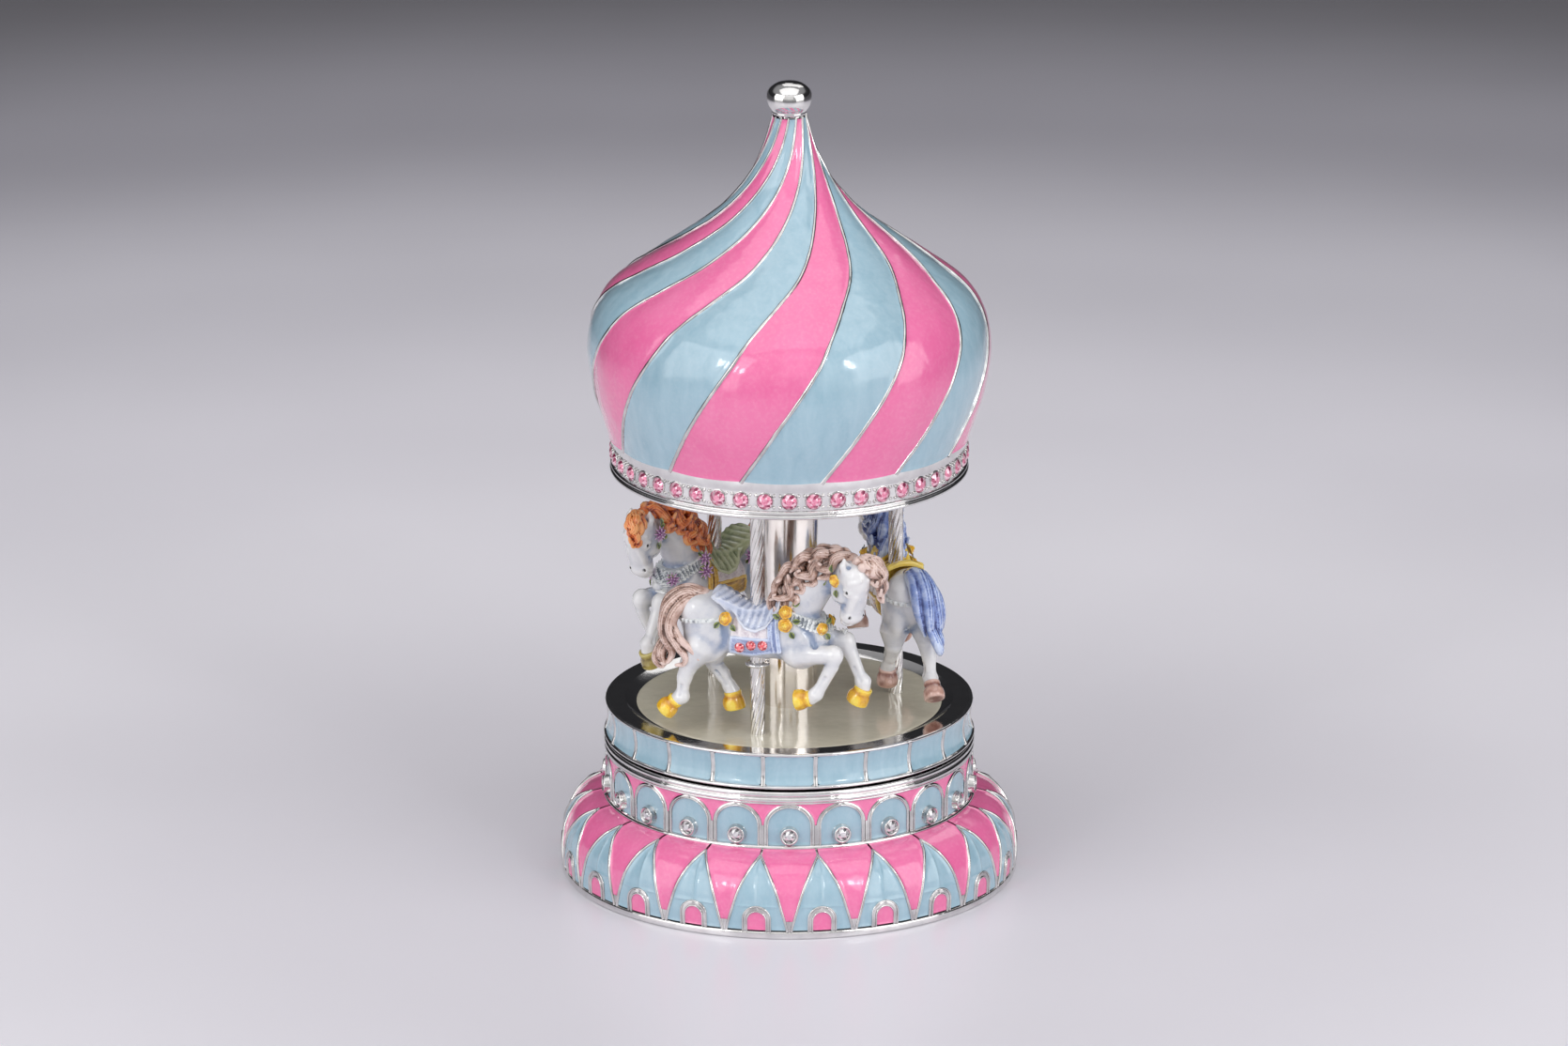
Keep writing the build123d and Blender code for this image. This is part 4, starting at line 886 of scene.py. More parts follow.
def set_stones(name, places, radius, material, body, slot, node):
    """Cut stones at places, each a (position, outward direction, roll in degrees), as one piece."""
    verts, faces, glint_tones = cut_stone(radius)
    batch, all_glint_tones = Batch(), []
    for position, outward, roll in places:
        x = Vector(outward).normalized()
        side = x.cross(Vector((0, 0, 1))).normalized()
        basis = Matrix((x, side, x.cross(side))).transposed() @ Matrix.Rotation(radians(roll), 3, "X")
        batch.add(verts @ np.array(basis).T + np.array(position), faces)
        all_glint_tones += glint_tones[:1] + [tone + 0.12 * sin(7.0 * i + roll) for i, tone in enumerate(glint_tones[1:])]
    obj = batch.piece(name, material, body, slot, (node,), smooth=False)
    # the painted reflection tone of every facet
    facet = obj.data.attributes.new("facet", "FLOAT", "FACE")
    facet.data.foreach_set("value", np.clip(all_glint_tones, 0, 1).astype(np.float32))


def ring_on_front(line, radius, height, count):
    """A turned ring on the front of an upright round surface, from an outline of (radius, how far out)."""
    a = np.linspace(0, 2 * pi, count, endpoint=False)
    r, out = line[:, 0][:, None], line[:, 1][:, None]
    ring = Batch()
    ring.grid(np.stack([r * np.cos(a), -radius - out + 0 * a, height + r * np.sin(a)], axis=-1), wrap=True)
    return ring


def middle_and_half(node):
    """Height of the middle and half the height of a node whose stones or collets stand in one ring."""
    return (low(node)[2] + high(node)[2]) / 2, (high(node)[2] - low(node)[2]) / 2


def ring_places(radius, height, count):
    """Places of stones on a ring, facing outwards, each rolled by its own amount."""
    places = []
    for i in range(count):
        a = radians(i * 360 / count)
        way = (sin(a), -cos(a), 0)
        places.append(((radius * way[0], radius * way[1], height), way, 137.5 * i % 45))
    return places


def build_waist_stones():
    """Clear stones in round collets, one in each arch of the waist."""
    height, stone_r = middle_and_half("waist_crystals")
    collet_r = middle_and_half("waist_collets")[1]
    line = np.vstack([
        [(collet_r + 0.12, -0.3), (collet_r + 0.02, 0.1)],
        np.stack([np.linspace(collet_r, collet_r - 0.1, 5), np.linspace(0.1, 0.7, 5)], axis=1),
        arc_line((collet_r - 0.3, 0.8), 0.2, 0, 140),
        [(stone_r - 0.05, 0.65), (stone_r - 0.1, 0.3)],
    ])
    cup = ring_on_front(line, WAIST_R, height, 40)
    cup.spun(ARCADE).piece("waist_collet_rings", WIRE_SILVER, "base", "silver_plate", ("waist_collets",))
    set_stones("waist_stones", ring_places(WAIST_R + 0.5, height, ARCADE), stone_r, CLEAR_STONE,
               "base", "clear_crystal", "waist_crystals")


# ---------------------------------------------------------------- clay: solids blended on a grid
class Clay:
    """A grid of signed distances in millimetres; shapes are blended in and the skin is meshed."""

    def __init__(self, low_corner, high_corner, voxel):
        self.low = np.array(low_corner, dtype=float)
        self.voxel = voxel
        self.count = (np.ceil((np.array(high_corner) - self.low) / voxel) + 1).astype(int)
        self.value = np.full(self.count, 6.0, dtype=np.float32)

    @classmethod
    def part_of(cls, other, points):
        """An unset grid over part of another, and that part with its coordinates."""
        part, axes = other.window(points, 0)
        clay = cls.__new__(cls)
        clay.voxel = other.voxel
        clay.low = other.low + np.array([s.start for s in part]) * other.voxel
        clay.count = np.array([s.stop - s.start for s in part])
        return clay, part, axes

    def window(self, points, reach):
        """The part of the grid within reach of points, with its coordinates."""
        points = np.atleast_2d(points)
        start = np.floor((points.min(axis=0) - reach - self.low) / self.voxel).astype(int)
        stop = np.ceil((points.max(axis=0) + reach - self.low) / self.voxel).astype(int) + 1
        start, stop = np.clip(start, 0, self.count), np.clip(stop, 0, self.count)
        part = tuple(slice(a, b) for a, b in zip(start, stop))
        axes = [(self.low[i] + self.voxel * np.arange(start[i], stop[i])).astype(np.float32)
                for i in range(3)]
        return part, np.meshgrid(*axes, indexing="ij", sparse=True)

    def blend(self, part, distance, soft, cut):
        """Joins a shape on, or cuts it away, with a soft seam."""
        old = self.value[part]
        if cut:
            near = np.maximum(soft - np.abs(old + distance), 0) / soft
            self.value[part] = np.maximum(old, -distance) + near * near * soft / 4
        else:
            near = np.maximum(soft - np.abs(old - distance), 0) / soft
            self.value[part] = np.minimum(old, distance) - near * near * soft / 4

    def ball(self, centre, radii, soft=0.8, tilt=0.0, yaw=0.0, cut=False):
        """An ellipsoid, tilted in the side view and then yawed about the upright, in degrees."""
        radii = np.broadcast_to(np.asarray(radii, dtype=float), 3)
        part, (x, y, z) = self.window(centre, radii.max() + soft)
        x, y, z = x - centre[0], y - centre[1], z - centre[2]
        c, s = cos(radians(yaw)), sin(radians(yaw))
        x, y = c * x + s * y, c * y - s * x
        c, s = cos(radians(tilt)), sin(radians(tilt))
        x, z = c * x + s * z, c * z - s * x
        near = np.sqrt((x / radii[0])**2 + (y / radii[1])**2 + (z / radii[2])**2)
        far = np.sqrt((x / radii[0]**2)**2 + (y / radii[1]**2)**2 + (z / radii[2]**2)**2) + 1e-6
        self.blend(part, near * (near - 1) / far, soft, cut)

    def limb(self, points, radii, soft, flat=1.0, cut=False):
        """A chain of tapering round bars; flat above 1 makes them thinner from side to side."""
        points = np.asarray(points, dtype=float)
        radii = np.broadcast_to(np.asarray(radii, dtype=float), len(points))
        part, (x, y, z) = self.window(points, radii.max() + soft)
        nearest = None
        for a, b, ra, rb in zip(points, points[1:], radii, radii[1:]):
            d = b - a
            along = ((x - a[0]) * d[0] + (y - a[1]) * d[1] + (z - a[2]) * d[2]) / max(d @ d, 1e-9)
            along = np.clip(along, 0, 1)
            gap = np.sqrt((x - a[0] - along * d[0])**2 + (flat * (y - a[1] - along * d[1]))**2
                          + (z - a[2] - along * d[2])**2) - (ra + along * (rb - ra))
            nearest = gap if nearest is None else np.minimum(nearest, gap)
        self.blend(part, nearest, soft, cut)

    def softened(self, reach):
        """The grid blurred three times, to tell hollows from ridges."""
        value = self.value.copy()
        for _ in range(3):
            for axis in range(3):
                total = value.copy()
                for step in range(1, reach + 1):
                    total += np.roll(value, step, axis) + np.roll(value, -step, axis)
                value = total / (2 * reach + 1)
        return value

    def skin(self, reach):
        """The zero surface as vertices, quads and, for each vertex, how hollow the place is."""
        value = self.value
        inside = value < 0
        total = np.zeros(tuple(self.count - 1), dtype=np.int8)
        corners = [(i, j, k) for i in (0, 1) for j in (0, 1) for k in (0, 1)]
        for i, j, k in corners:
            total += inside[i:self.count[0] - 1 + i, j:self.count[1] - 1 + j, k:self.count[2] - 1 + k]
        cells = np.argwhere((total > 0) & (total < 8))
        number = np.full(tuple(self.count - 1), -1, dtype=np.int64)
        number[tuple(cells.T)] = np.arange(len(cells))
        at = {c: value[cells[:, 0] + c[0], cells[:, 1] + c[1], cells[:, 2] + c[2]] for c in corners}
        place, hits = np.zeros((len(cells), 3)), np.zeros(len(cells))
        for a in corners:
            for axis in range(3):
                if a[axis]:
                    continue
                b = tuple(v + (i == axis) for i, v in enumerate(a))
                crossed = (at[a] < 0) != (at[b] < 0)
                share = np.where(crossed, at[a] / np.where(crossed, at[a] - at[b], 1), 0)
                spot = np.tile(np.array(a, dtype=float), (len(cells), 1))
                spot[:, axis] += share
                place += spot * crossed[:, None]
                hits += crossed
        verts = self.low + self.voxel * (cells + place / hits[:, None])
        quads = []
        for axis in range(3):
            u, v = (axis + 1) % 3, (axis + 2) % 3
            first = [slice(None)] * 3
            second = [slice(None)] * 3
            first[axis], second[axis] = slice(0, -1), slice(1, None)
            a, b = inside[tuple(first)], inside[tuple(second)]
            for sign, crossed in ((1, a & ~b), (-1, ~a & b)):
                spots = np.argwhere(crossed)
                spots = spots[(spots[:, u] > 0) & (spots[:, v] > 0)
                              & (spots[:, u] < self.count[u] - 1) & (spots[:, v] < self.count[v] - 1)]
                ring = []
                for du, dv in ((0, 0), (-1, 0), (-1, -1), (0, -1)):
                    near = spots.copy()
                    near[:, u] += du
                    near[:, v] += dv
                    ring.append(number[tuple(near.T)])
                ring = np.stack(ring, axis=1)
                quads.append(ring if sign > 0 else ring[:, ::-1])
        blurred = self.softened(reach)
        nearest = np.clip(np.round((verts - self.low) / self.voxel).astype(int), 0, self.count - 1)
        base = value[tuple(nearest.T)]
        return verts, np.vstack(quads), base - blurred[tuple(nearest.T)]


def relaxed(verts, quads, passes):
    """Vertices moved half way to the middle of their neighbours, a number of times."""
    ends = np.vstack([quads[:, [0, 1]], quads[:, [1, 2]], quads[:, [2, 3]], quads[:, [3, 0]]])
    for _ in range(passes):
        total = np.zeros_like(verts)
        count = np.zeros(len(verts))
        for i, j in ((0, 1), (1, 0)):
            for axis in range(3):
                total[:, axis] += np.bincount(ends[:, i], verts[ends[:, j], axis], len(verts))
            count += np.bincount(ends[:, i], minlength=len(verts))
        verts = verts + 0.5 * (total / count[:, None] - verts)
    return verts


class Form:
    """A finished shape in the horse's own frame, ready to be placed and coloured."""

    def __init__(self, verts, faces, hollow):
        self.verts, self.faces, self.hollow = verts, faces, hollow

    @classmethod
    def of(cls, clay, passes=2, reach=2):
        """The skin of a clay, relaxed, with its hollows scaled to about 0 on ridges and 1 in grooves."""
        verts, quads, hollow = clay.skin(reach)
        ridge, deep = np.percentile(hollow, [10, 95])
        hollow = np.clip((hollow - ridge) / (deep - ridge), -0.3, 1.4)
        return cls(relaxed(verts, quads, passes), quads, hollow)

    @classmethod
    def joined(cls, forms):
        """Several forms as one."""
        faces, start = [], 0
        for form in forms:
            faces.append(np.asarray(form.faces) + start)
            start += len(form.verts)
        return cls(np.vstack([form.verts for form in forms]), np.vstack(faces),
                   np.concatenate([form.hollow for form in forms]))

    def moved(self, rotation, offset, size):
        """A copy that is scaled, turned and then shifted."""
        return Form(size * self.verts @ np.array(rotation).T + np.array(offset), self.faces, self.hollow)

    def piece(self, name, material, slot, place, replaces=()):
        """Places the form on its pole and makes it a piece of the carousel."""
        heading, centre = place
        verts = turn(self.verts, heading) + np.array([*centre, 0])
        batch = Batch()
        batch.add(verts, self.faces.tolist())
        obj = batch.piece(name, material, "carousel", slot, replaces, crease=0)
        hollow = obj.data.attributes.new("hollow", "FLOAT", "POINT")
        hollow.data.foreach_set("value", self.hollow.astype(np.float32))


# ---------------------------------------------------------------- the horse, in its own frame
# x forward along the horse from the pole, y to its left (the outer side is negative), z as in the model.
class Head:
    """Where a head is: the neck swings to one side and the face turns by a yaw, positive to the left."""

    def __init__(self, yaw):
        c, s = cos(radians(yaw)), sin(radians(yaw))
        self.yaw = yaw
        self.forward, self.left = np.array([c, s, 0]), np.array([-s, c, 0])
        self.muzzle = np.array([16.4 + 3.9 * c, 5.6 * s, 59.6])
        self.poll = np.array([16.4, 1.8 * s, 67.6])

    def at(self, left, up, forward):
        """A place given across, up and in front of the muzzle; the brow is in front of the muzzle."""
        return self.muzzle + left * self.left + (forward + 0.23 * up) * self.forward + np.array([0, 0, up])


LEGS = (      # points of the leg, their radii, the hoof's coronet and sole and its two radii
    ([(8.6, -2.6, 51.0), (12.6, -3.1, 51.5), (16.0, -3.4, 51.5), (15.8, -3.5, 49.4), (13.8, -3.6, 45.4),
      (12.7, -3.6, 43.6), (11.9, -3.6, 42.6)], (2.7, 2.05, 1.7, 1.35, 1.15, 1.3, 1.05),
     ((11.4, -3.6, 42.6), (8.6, -3.6, 42.0)), (1.3, 1.95)),
    ([(9.2, 2.5, 52.2), (13.2, 2.6, 53.0), (16.7, 2.8, 52.4), (18.1, 2.8, 49.4), (19.4, 2.8, 46.2),
      (20.2, 2.8, 44.8), (20.2, 2.8, 43.6)], (2.6, 2.0, 1.65, 1.3, 1.15, 1.4, 1.15),
     ((20.2, 2.8, 43.4), (18.9, 2.8, 40.4)), (1.5, 2.05)),
    ([(-10.4, -2.8, 50.8), (-12.6, -3.1, 47.2), (-13.6, -3.3, 44.4), (-13.9, -3.4, 41.8), (-14.1, -3.4, 40.6),
      (-15.0, -3.4, 39.8)], (3.2, 1.95, 1.35, 1.2, 1.45, 1.15),
     ((-15.3, -3.4, 39.8), (-17.6, -3.4, 37.2)), (1.3, 1.95)),
    ([(-9.4, 2.6, 48.8), (-9.6, 2.8, 46.0), (-7.9, 2.9, 43.5), (-6.5, 3.0, 41.4), (-6.0, 3.0, 40.4)],
     (2.9, 1.75, 1.3, 1.15, 1.35),
     ((-5.9, 3.0, 40.2), (-5.2, 3.0, 36.9)), (1.4, 2.0)),
)


def horse_body(voxel, head):
    """Torso, neck, head and legs."""
    at, yaw = head.at, head.yaw
    clay = Clay((-19.5, -8.0, 36.0), (26.0, 8.0, 75.0), voxel)
    clay.ball((-9.7, 0, 55.4), (5.5, 4.3, 5.8))
    clay.ball((0, 0, 53.7), (11.5, 4.6, 5.0), 2.0)
    clay.ball((8.2, 0, 54.0), (5.6, 4.3, 5.7), 1.6)
    neck = [(6.6, 0, 56.8), (8.7, 0.15 * head.poll[1], 60.2), (11.2, 0.45 * head.poll[1], 64.0),
            (13.9, 0.8 * head.poll[1], 66.6), tuple(head.poll)]
    clay.limb(neck, (4.4, 4.1, 3.8, 3.2, 2.6), 1.4, flat=1.2)
    for side in (-1, 1):
        clay.ball((-9.3, 2.6 * side, 52.8), (4.5, 2.4, 5.4), 1.1, tilt=-12)
        clay.ball((8.9, 2.7 * side, 53.0), (3.9, 2.1, 5.0), 1.1, tilt=18)
        clay.ball((-11.8, 2.2 * side, 57.8), (3.0, 2.2, 2.8), 1.4)
        clay.limb([(11.2, 1.9 * side, 56.2), (13.0, 1.4 * side, 54.2)], (1.9, 1.6), 0.9)
    for points, radii, (coronet, _), _ in LEGS:
        clay.limb(points, radii, 0.7)
        clay.ball(np.array(points[2]) + (0.1, 0, 0.1), (1.1 * radii[2], 0.95 * radii[2], 1.2 * radii[2]), 0.5)
        fetlock = np.array(points[-2])
        clay.limb([fetlock, coronet], (radii[-2], radii[-1] * 1.05), 0.6)
        clay.ball(fetlock - (0.56, 0, 0.14), 0.75 * radii[-2], 0.5)
        mid = (np.array(points[-3]) + np.array(points[-4])) / 2
        for side in (-1, 1):
            clay.limb([mid + (-0.1, 1.15 * side, 0), fetlock + (-0.1, 1.35 * side, 0.6)], 0.22, 0.5, cut=True)
    clay.ball(at(0, 7.9, -1.6), (3.6, 2.8, 3.3), 1.4, yaw=yaw)
    clay.ball(at(0, 8.6, 0.1), (2.4, 2.4, 2.6), 1.1, yaw=yaw)
    clay.limb([at(0, 7.0, 0.5), at(0, 3.8, 0.5), at(0, 1.2, 0.3)], (2.35, 2.05, 1.95), 0.8)
    clay.ball(at(0, 0.4, 0.2), (2.05, 2.35, 1.7), 0.6, yaw=yaw)
    clay.ball(at(0, -0.95, -0.4), (1.5, 1.7, 0.9), 0.4, yaw=yaw)
    clay.limb([at(0, 4.2, -1.8), at(0, 0.4, -0.9)], (1.75, 1.3), 0.9)
    clay.limb([at(-1.9, -0.35, -0.2), at(-1.3, -0.55, 0.9), at(0, -0.6, 1.35), at(1.3, -0.55, 0.9),
               at(1.9, -0.35, -0.2)], 0.13, 0.25, cut=True)
    for side in (-1, 1):
        clay.ball(at(1.95 * side, 5.1, -2.2), (2.5, 0.95, 2.6), 0.6, yaw=yaw)
        clay.limb([at(2.2 * side, 3.0, 0.2), at(2.4 * side, 2.8, -0.9), at(2.0 * side, 3.4, -2.4)],
                  0.2, 0.5, cut=True)
        clay.ball(at(1.95 * side, 5.75, 0.75), (1.0, 0.62, 0.75), 0.35, yaw=yaw)
        clay.limb([at(1.5 * side, 6.55, 1.6), at(2.2 * side, 6.8, 0.9), at(2.55 * side, 6.3, 0.0)],
                  0.34, 0.25)
        clay.limb([at(1.65 * side, 5.1, 1.5), at(2.25 * side, 4.95, 0.9), at(2.5 * side, 5.35, 0.1)],
                  0.24, 0.25)
        clay.limb([at(1.1 * side, 4.9, 2.1), at(1.45 * side, 2.9, 1.6), at(1.4 * side, 1.6, 1.2)], 0.4, 0.5)
        clay.limb([at(0.9 * side, 8.4, 2.5), at(1.7 * side, 7.9, 1.9), at(2.3 * side, 7.6, 0.9)], 0.3, 0.5)
        clay.ball(at(1.4 * side, 0.75, 1.05), (0.85, 0.75, 0.75), 0.4, yaw=yaw)
        clay.ball(at(1.55 * side, 0.55, 1.75), (0.3, 0.3, 0.4), 0.2, cut=True)
        root, tip = at(1.6 * side, 9.4, -1.3), at(2.1 * side, 12.0, -2.0)
        clay.limb([root, (root + tip) / 2 + 0.25 * side * head.left, tip], (1.1, 1.0, 0.3), 0.5)
        clay.limb([(root + tip) / 2 + 0.95 * head.forward, tip + 0.55 * head.forward],
                  (0.5, 0.12), 0.35, cut=True)
        clay.limb([(-6.2, 4.7 * side, 50.0), (-5.2, 4.6 * side, 53.4), (-5.8, 4.3 * side, 56.2)],
                  0.3, 1.2, cut=True)
        clay.limb([(12.6, 3.7 * side, 52.6), (11.9, 3.9 * side, 55.2), (9.8, 4.4 * side, 57.4)],
                  0.3, 1.2, cut=True)
    return clay


def hooves(voxel):
    """Flared hooves with flat soles and a raised coronet."""
    forms = []
    for _, _, (top, sole), (thin, wide) in LEGS:
        top, sole = np.array(top), np.array(sole)
        way = (sole - top) / np.linalg.norm(sole - top)
        clay = Clay(np.minimum(top, sole) - 3.2, np.maximum(top, sole) + 3.2, voxel)
        clay.limb([top, sole + 0.4 * way], (thin, wide * 1.06), 0.2)
        toe = 0.3 * wide * (1 if way[0] > 0.3 else -1)
        clay.ball(top + 0.62 * (sole - top) + (0.5 * toe, 0, 0.1 * toe), wide * 1.05, 0.5)
        clay.limb([top + 0.05 * way, top + 0.35 * way], thin + 0.3, 0.15)
        part, (x, y, z) = clay.window([sole - 5, sole + 5], 0)
        beyond = (x - sole[0]) * way[0] + (y - sole[1]) * way[1] + (z - sole[2]) * way[2]
        clay.blend(part, -beyond, 0.35, cut=True)
        part, (x, y, z) = clay.window([top - 5, top + 5], 0)
        before = (x - top[0]) * way[0] + (y - top[1]) * way[1] + (z - top[2]) * way[2]
        clay.blend(part, before + 0.25, 0.2, cut=True)
        forms.append(Form.of(clay, 1))
    return Form.joined(forms)


def lock(clay, points, thick, lift, soft=0.14, grooves=(-0.5, 0.05, 0.6)):
    """A tapering lock of hair with fine grooves along its outer side, which faces lift."""
    line = smooth_line(points, 0.5)
    u = np.linspace(0, 1, len(line))
    radius = thick * (0.6 + 0.5 * np.sin(pi * np.clip(u * 0.8 + 0.2, 0, 1))) * (1 - 0.5 * u**6)
    clay.limb(line, radius, soft)
    lift = np.array(lift, dtype=float) / np.linalg.norm(lift)
    along = np.gradient(line, axis=0)
    across = unit_rows(np.cross(along, lift))
    outward = unit_rows(np.cross(across, along))
    for share in grooves:
        reach = radius[:, None] * (share * across + sqrt(1 - share**2) * outward)
        clay.limb((line + reach)[1:-1], 0.14, 0.1, cut=True)


CREST = smooth_line([(4.0, 0, 59.8), (4.9, 0, 63.4), (6.8, 0, 66.7), (9.4, 0, 68.9), (12.4, 0, 70.2),
                     (15.6, 0, 70.9), (18.8, 0, 70.9)], 0.5)
LOCK_SHAPES = (       # back along the crest, in towards the neck, and out to the side
    ((-0.9, 0.2, 0.2), (0.5, -0.2, 1.3), (1.7, 0.7, 2.1), (1.9, 1.8, 2.7), (2.9, 2.8, 2.9), (4.3, 2.7, 3.1),
     (5.1, 1.7, 3.3), (4.6, 1.0, 3.4)),
    ((-0.8, 0.4, 0.3), (-0.3, 1.1, 1.7), (0.9, 1.7, 2.4), (1.3, 2.7, 2.8), (0.8, 3.6, 3.0), (1.6, 4.2, 3.2),
     (2.8, 3.9, 3.4)),
    ((-0.9, 0.1, 0.0), (0.4, -0.6, 0.5), (1.6, -0.1, 1.2), (2.6, -0.5, 1.7), (3.8, 0.1, 2.0), (4.6, 1.0, 2.4),
     (5.6, 0.8, 2.6)),
)
FORELOCK = (          # how far left, how far forward, how far down and the curl at its end
    (0.4, 2.6, 0.4, 0.6), (1.3, 3.4, 1.6, 0.8), (2.2, 3.8, 3.2, 1.0), (3.1, 3.9, 5.0, 1.1),
    (3.9, 3.5, 6.4, 1.0), (4.3, 2.5, 6.6, 0.9), (2.7, 2.7, 1.0, 0.7), (4.1, 1.4, 4.4, 0.6),
    (1.7, 2.9, 0.2, 0.6),
)


def mane(voxel, head, sweep):
    """Thick wavy locks swept back from the crest on both sides, over a cap of hair, and the forelock."""
    rng = np.random.default_rng(7)
    clay = Clay((-1.0, -8.0, 55.0), (29.0, 8.0, 75.5), voxel)
    share = np.linspace(0, 1, len(CREST))
    crest = CREST + np.stack([0 * share, head.poll[1] * share**2, 0 * share], axis=1)
    along = unit_rows(np.gradient(CREST, axis=0))
    inward = np.stack([along[:, 2], 0 * share, -along[:, 0]], axis=1)
    clay.limb(crest + 1.2 * inward, np.linspace(1.1, 1.9, len(crest)), 0.3, 0.95)
    for side in (-1, 1):
        for i in range(16):
            k = int((0.06 + 0.9 * i / 15) * (len(crest) - 1))
            shape = LOCK_SHAPES[i % 3]
            size = 0.85 + 0.25 * rng.random()
            wave = 0.9 * (rng.random((len(shape), 2)) - 0.5)
            points = [crest[k] - (size * a + w[0]) * along[k] + (size * b + w[1]) * inward[k]
                      + np.array([0, size * c * side, 0]) for (a, b, c), w in zip(shape, wave)]
            lock(clay, points, 0.82 + 0.24 * rng.random(), (-0.3, side, 0.45))
    top = head.at(0, 11.0, -1.2)
    for i, (left, far, drop, curl) in enumerate(FORELOCK):
        sway = 0.55 if i % 2 else -0.55
        left, drop = sweep * left, (0.5 + 0.5 * sweep) * drop
        drape = [(0.3 * left, 0.0, 0.0), (0.5 * left + 0.3 * sway, 0.45 * far, 0.8),
                 (0.8 * left - 0.5 * sway, 0.85 * far, 0.3), (left + sway, far, -0.35 * drop),
                 (1.05 * left - 0.8 * sway, 0.95 * far, -0.7 * drop), (left + 0.4 * sway, 0.85 * far, -drop),
                 (left, 0.85 * far + 0.8 * curl, -1.1 * drop - 0.2),
                 (0.9 * left, 0.85 * far + 1.3 * curl, -0.9 * drop)]
        points = [top + a * head.left + b * head.forward + np.array([0, 0, c]) for a, b, c in drape]
        lock(clay, points, 0.95, tuple(head.forward + 0.4 * head.left + np.array([0, 0, 0.4])))
    return clay


TAIL = (      # points of each lock and its thickness
    ([(-10.4, 0.3, 60.2), (-13.6, 0.2, 60.6), (-16.3, 0, 58.8), (-17.2, -0.3, 55.4), (-17.5, -0.9, 52.6),
      (-16.8, -1.6, 50.0)], 1.3),
    ([(-10.4, -0.3, 60.6), (-13.6, -0.9, 61.2), (-16.7, -1.6, 59.3), (-17.9, -2.0, 55.6), (-18.3, -2.3, 52.2),
      (-17.6, -2.7, 49.4)], 1.3),
    ([(-10.6, -0.7, 60.5), (-13.4, -1.9, 60.9), (-16.4, -3.1, 58.5), (-17.4, -3.6, 55.2), (-17.1, -4.0, 52.0),
      (-15.8, -4.3, 49.6), (-16.6, -4.6, 47.7), (-18.0, -4.7, 47.5)], 1.2),
    ([(-10.8, -1.0, 60.1), (-13.2, -2.6, 59.8), (-15.4, -4.1, 57.2), (-15.9, -4.8, 54.2), (-14.4, -5.2, 51.4),
      (-12.9, -5.3, 49.2), (-13.2, -5.2, 47.7), (-14.7, -5.1, 47.3)], 1.1),
    ([(-15.5, -4.6, 55.2), (-14.0, -5.3, 52.8), (-11.8, -5.4, 50.8), (-10.2, -5.2, 48.8)], 0.75),
    ([(-17.6, -2.4, 52.0), (-18.5, -3.2, 49.8), (-19.0, -3.9, 47.9), (-18.0, -4.3, 46.7),
      (-16.9, -4.3, 47.3)], 1.0),
    ([(-17.0, -3.4, 51.6), (-17.9, -4.2, 49.2), (-17.4, -4.9, 47.2)], 1.0),
)


def tail(voxel):
    """The tail: it arches back from the rump and falls in heavy locks over the outer thigh."""
    clay = Clay((-21.5, -8.0, 44.0), (-6.5, 4.0, 65.0), voxel)
    for points, thick in TAIL:
        lock(clay, points, thick, (-0.75, -0.75, 0.25), 0.25, (-0.7, -0.25, 0.25, 0.7))
    return clay


def along_x(x, places, values):
    """Values given at places along the horse, for each x of a grid."""
    return np.interp(x.ravel(), places, values).reshape(x.shape).astype(np.float32)


def above(skin, height, edge):
    """A layer that reaches height over the skin, down to 0.3 under it, within an edge."""
    return np.maximum(np.maximum(skin - height, -(skin + 0.3)), edge)


def blanket_ends(z):
    """Where the blanket starts behind and ends in front, at a height."""
    return -4.6 + 0.13 * (z - 50), 6.3 - 0.12 * (z - 50)


def saddle_shape(skin, x, y, z):
    """A ribbed seat with a high back, over ribbed flaps with a rolled edge."""
    flap = along_x(x, [-9, -4.6, -2.6, -1.0, 1.0, 3.0, 5.2, 9], [63, 59.6, 57.0, 55.7, 55.3, 56.2, 59.4, 63])
    edge = np.maximum((flap - z) * 0.75, np.abs(x + 0.2) - 5.6)
    rib = 0.17 * np.cos(2 * pi * (x - 0.25 * (z - 56)) / 1.3)
    shell = above(skin, 0.66 + rib, edge)
    shell = np.minimum(shell, np.maximum(skin - 1.05, np.abs(edge + 0.18) - 0.22))
    top = along_x(x, [-9, -8.2, -7.6, -6.4, -4.6, -2.6, -0.8, 1.0, 2.6, 4.0, 5.2],
                  [61.9, 62.2, 62.4, 62.0, 61.0, 60.0, 59.5, 59.6, 60.2, 60.9, 60.8])
    half = along_x(x, [-9, -8.2, -7.0, -4.0, 0, 3.6, 5.2], [2.6, 3.4, 3.9, 3.2, 2.6, 2.0, 1.2])
    depth = along_x(x, [-9, -8, -6.4, -5, -3, 5], [0.7, 0.9, 1.3, 2.4, 4, 4])
    arch = top - 0.075 * y * y
    groove = 0.12 * np.cos(2 * pi * (x + 0.10 * y * y) / 1.3)
    seat = np.maximum(np.maximum(z - arch - groove, arch - depth - z), np.abs(y) - half)
    seat = np.maximum(seat, np.maximum(-8.3 - x, x - 5.2)).astype(np.float32)
    near = np.maximum(0.9 - np.abs(shell - seat), 0) / 0.9
    return np.minimum(shell, seat) - near * near * 0.9 / 4


def blanket_shape(skin, x, y, z):
    """The folded cloth under the saddle."""
    rear, front = blanket_ends(z)
    folds = 0.10 * np.sin(2 * pi * (x + 0.2 * z) / 2.1)
    cloth = above(skin, 0.34 + folds, np.maximum(53.9 - z, z - 60.0))
    return np.maximum(cloth, np.maximum(rear - x, x - front + 2.4))


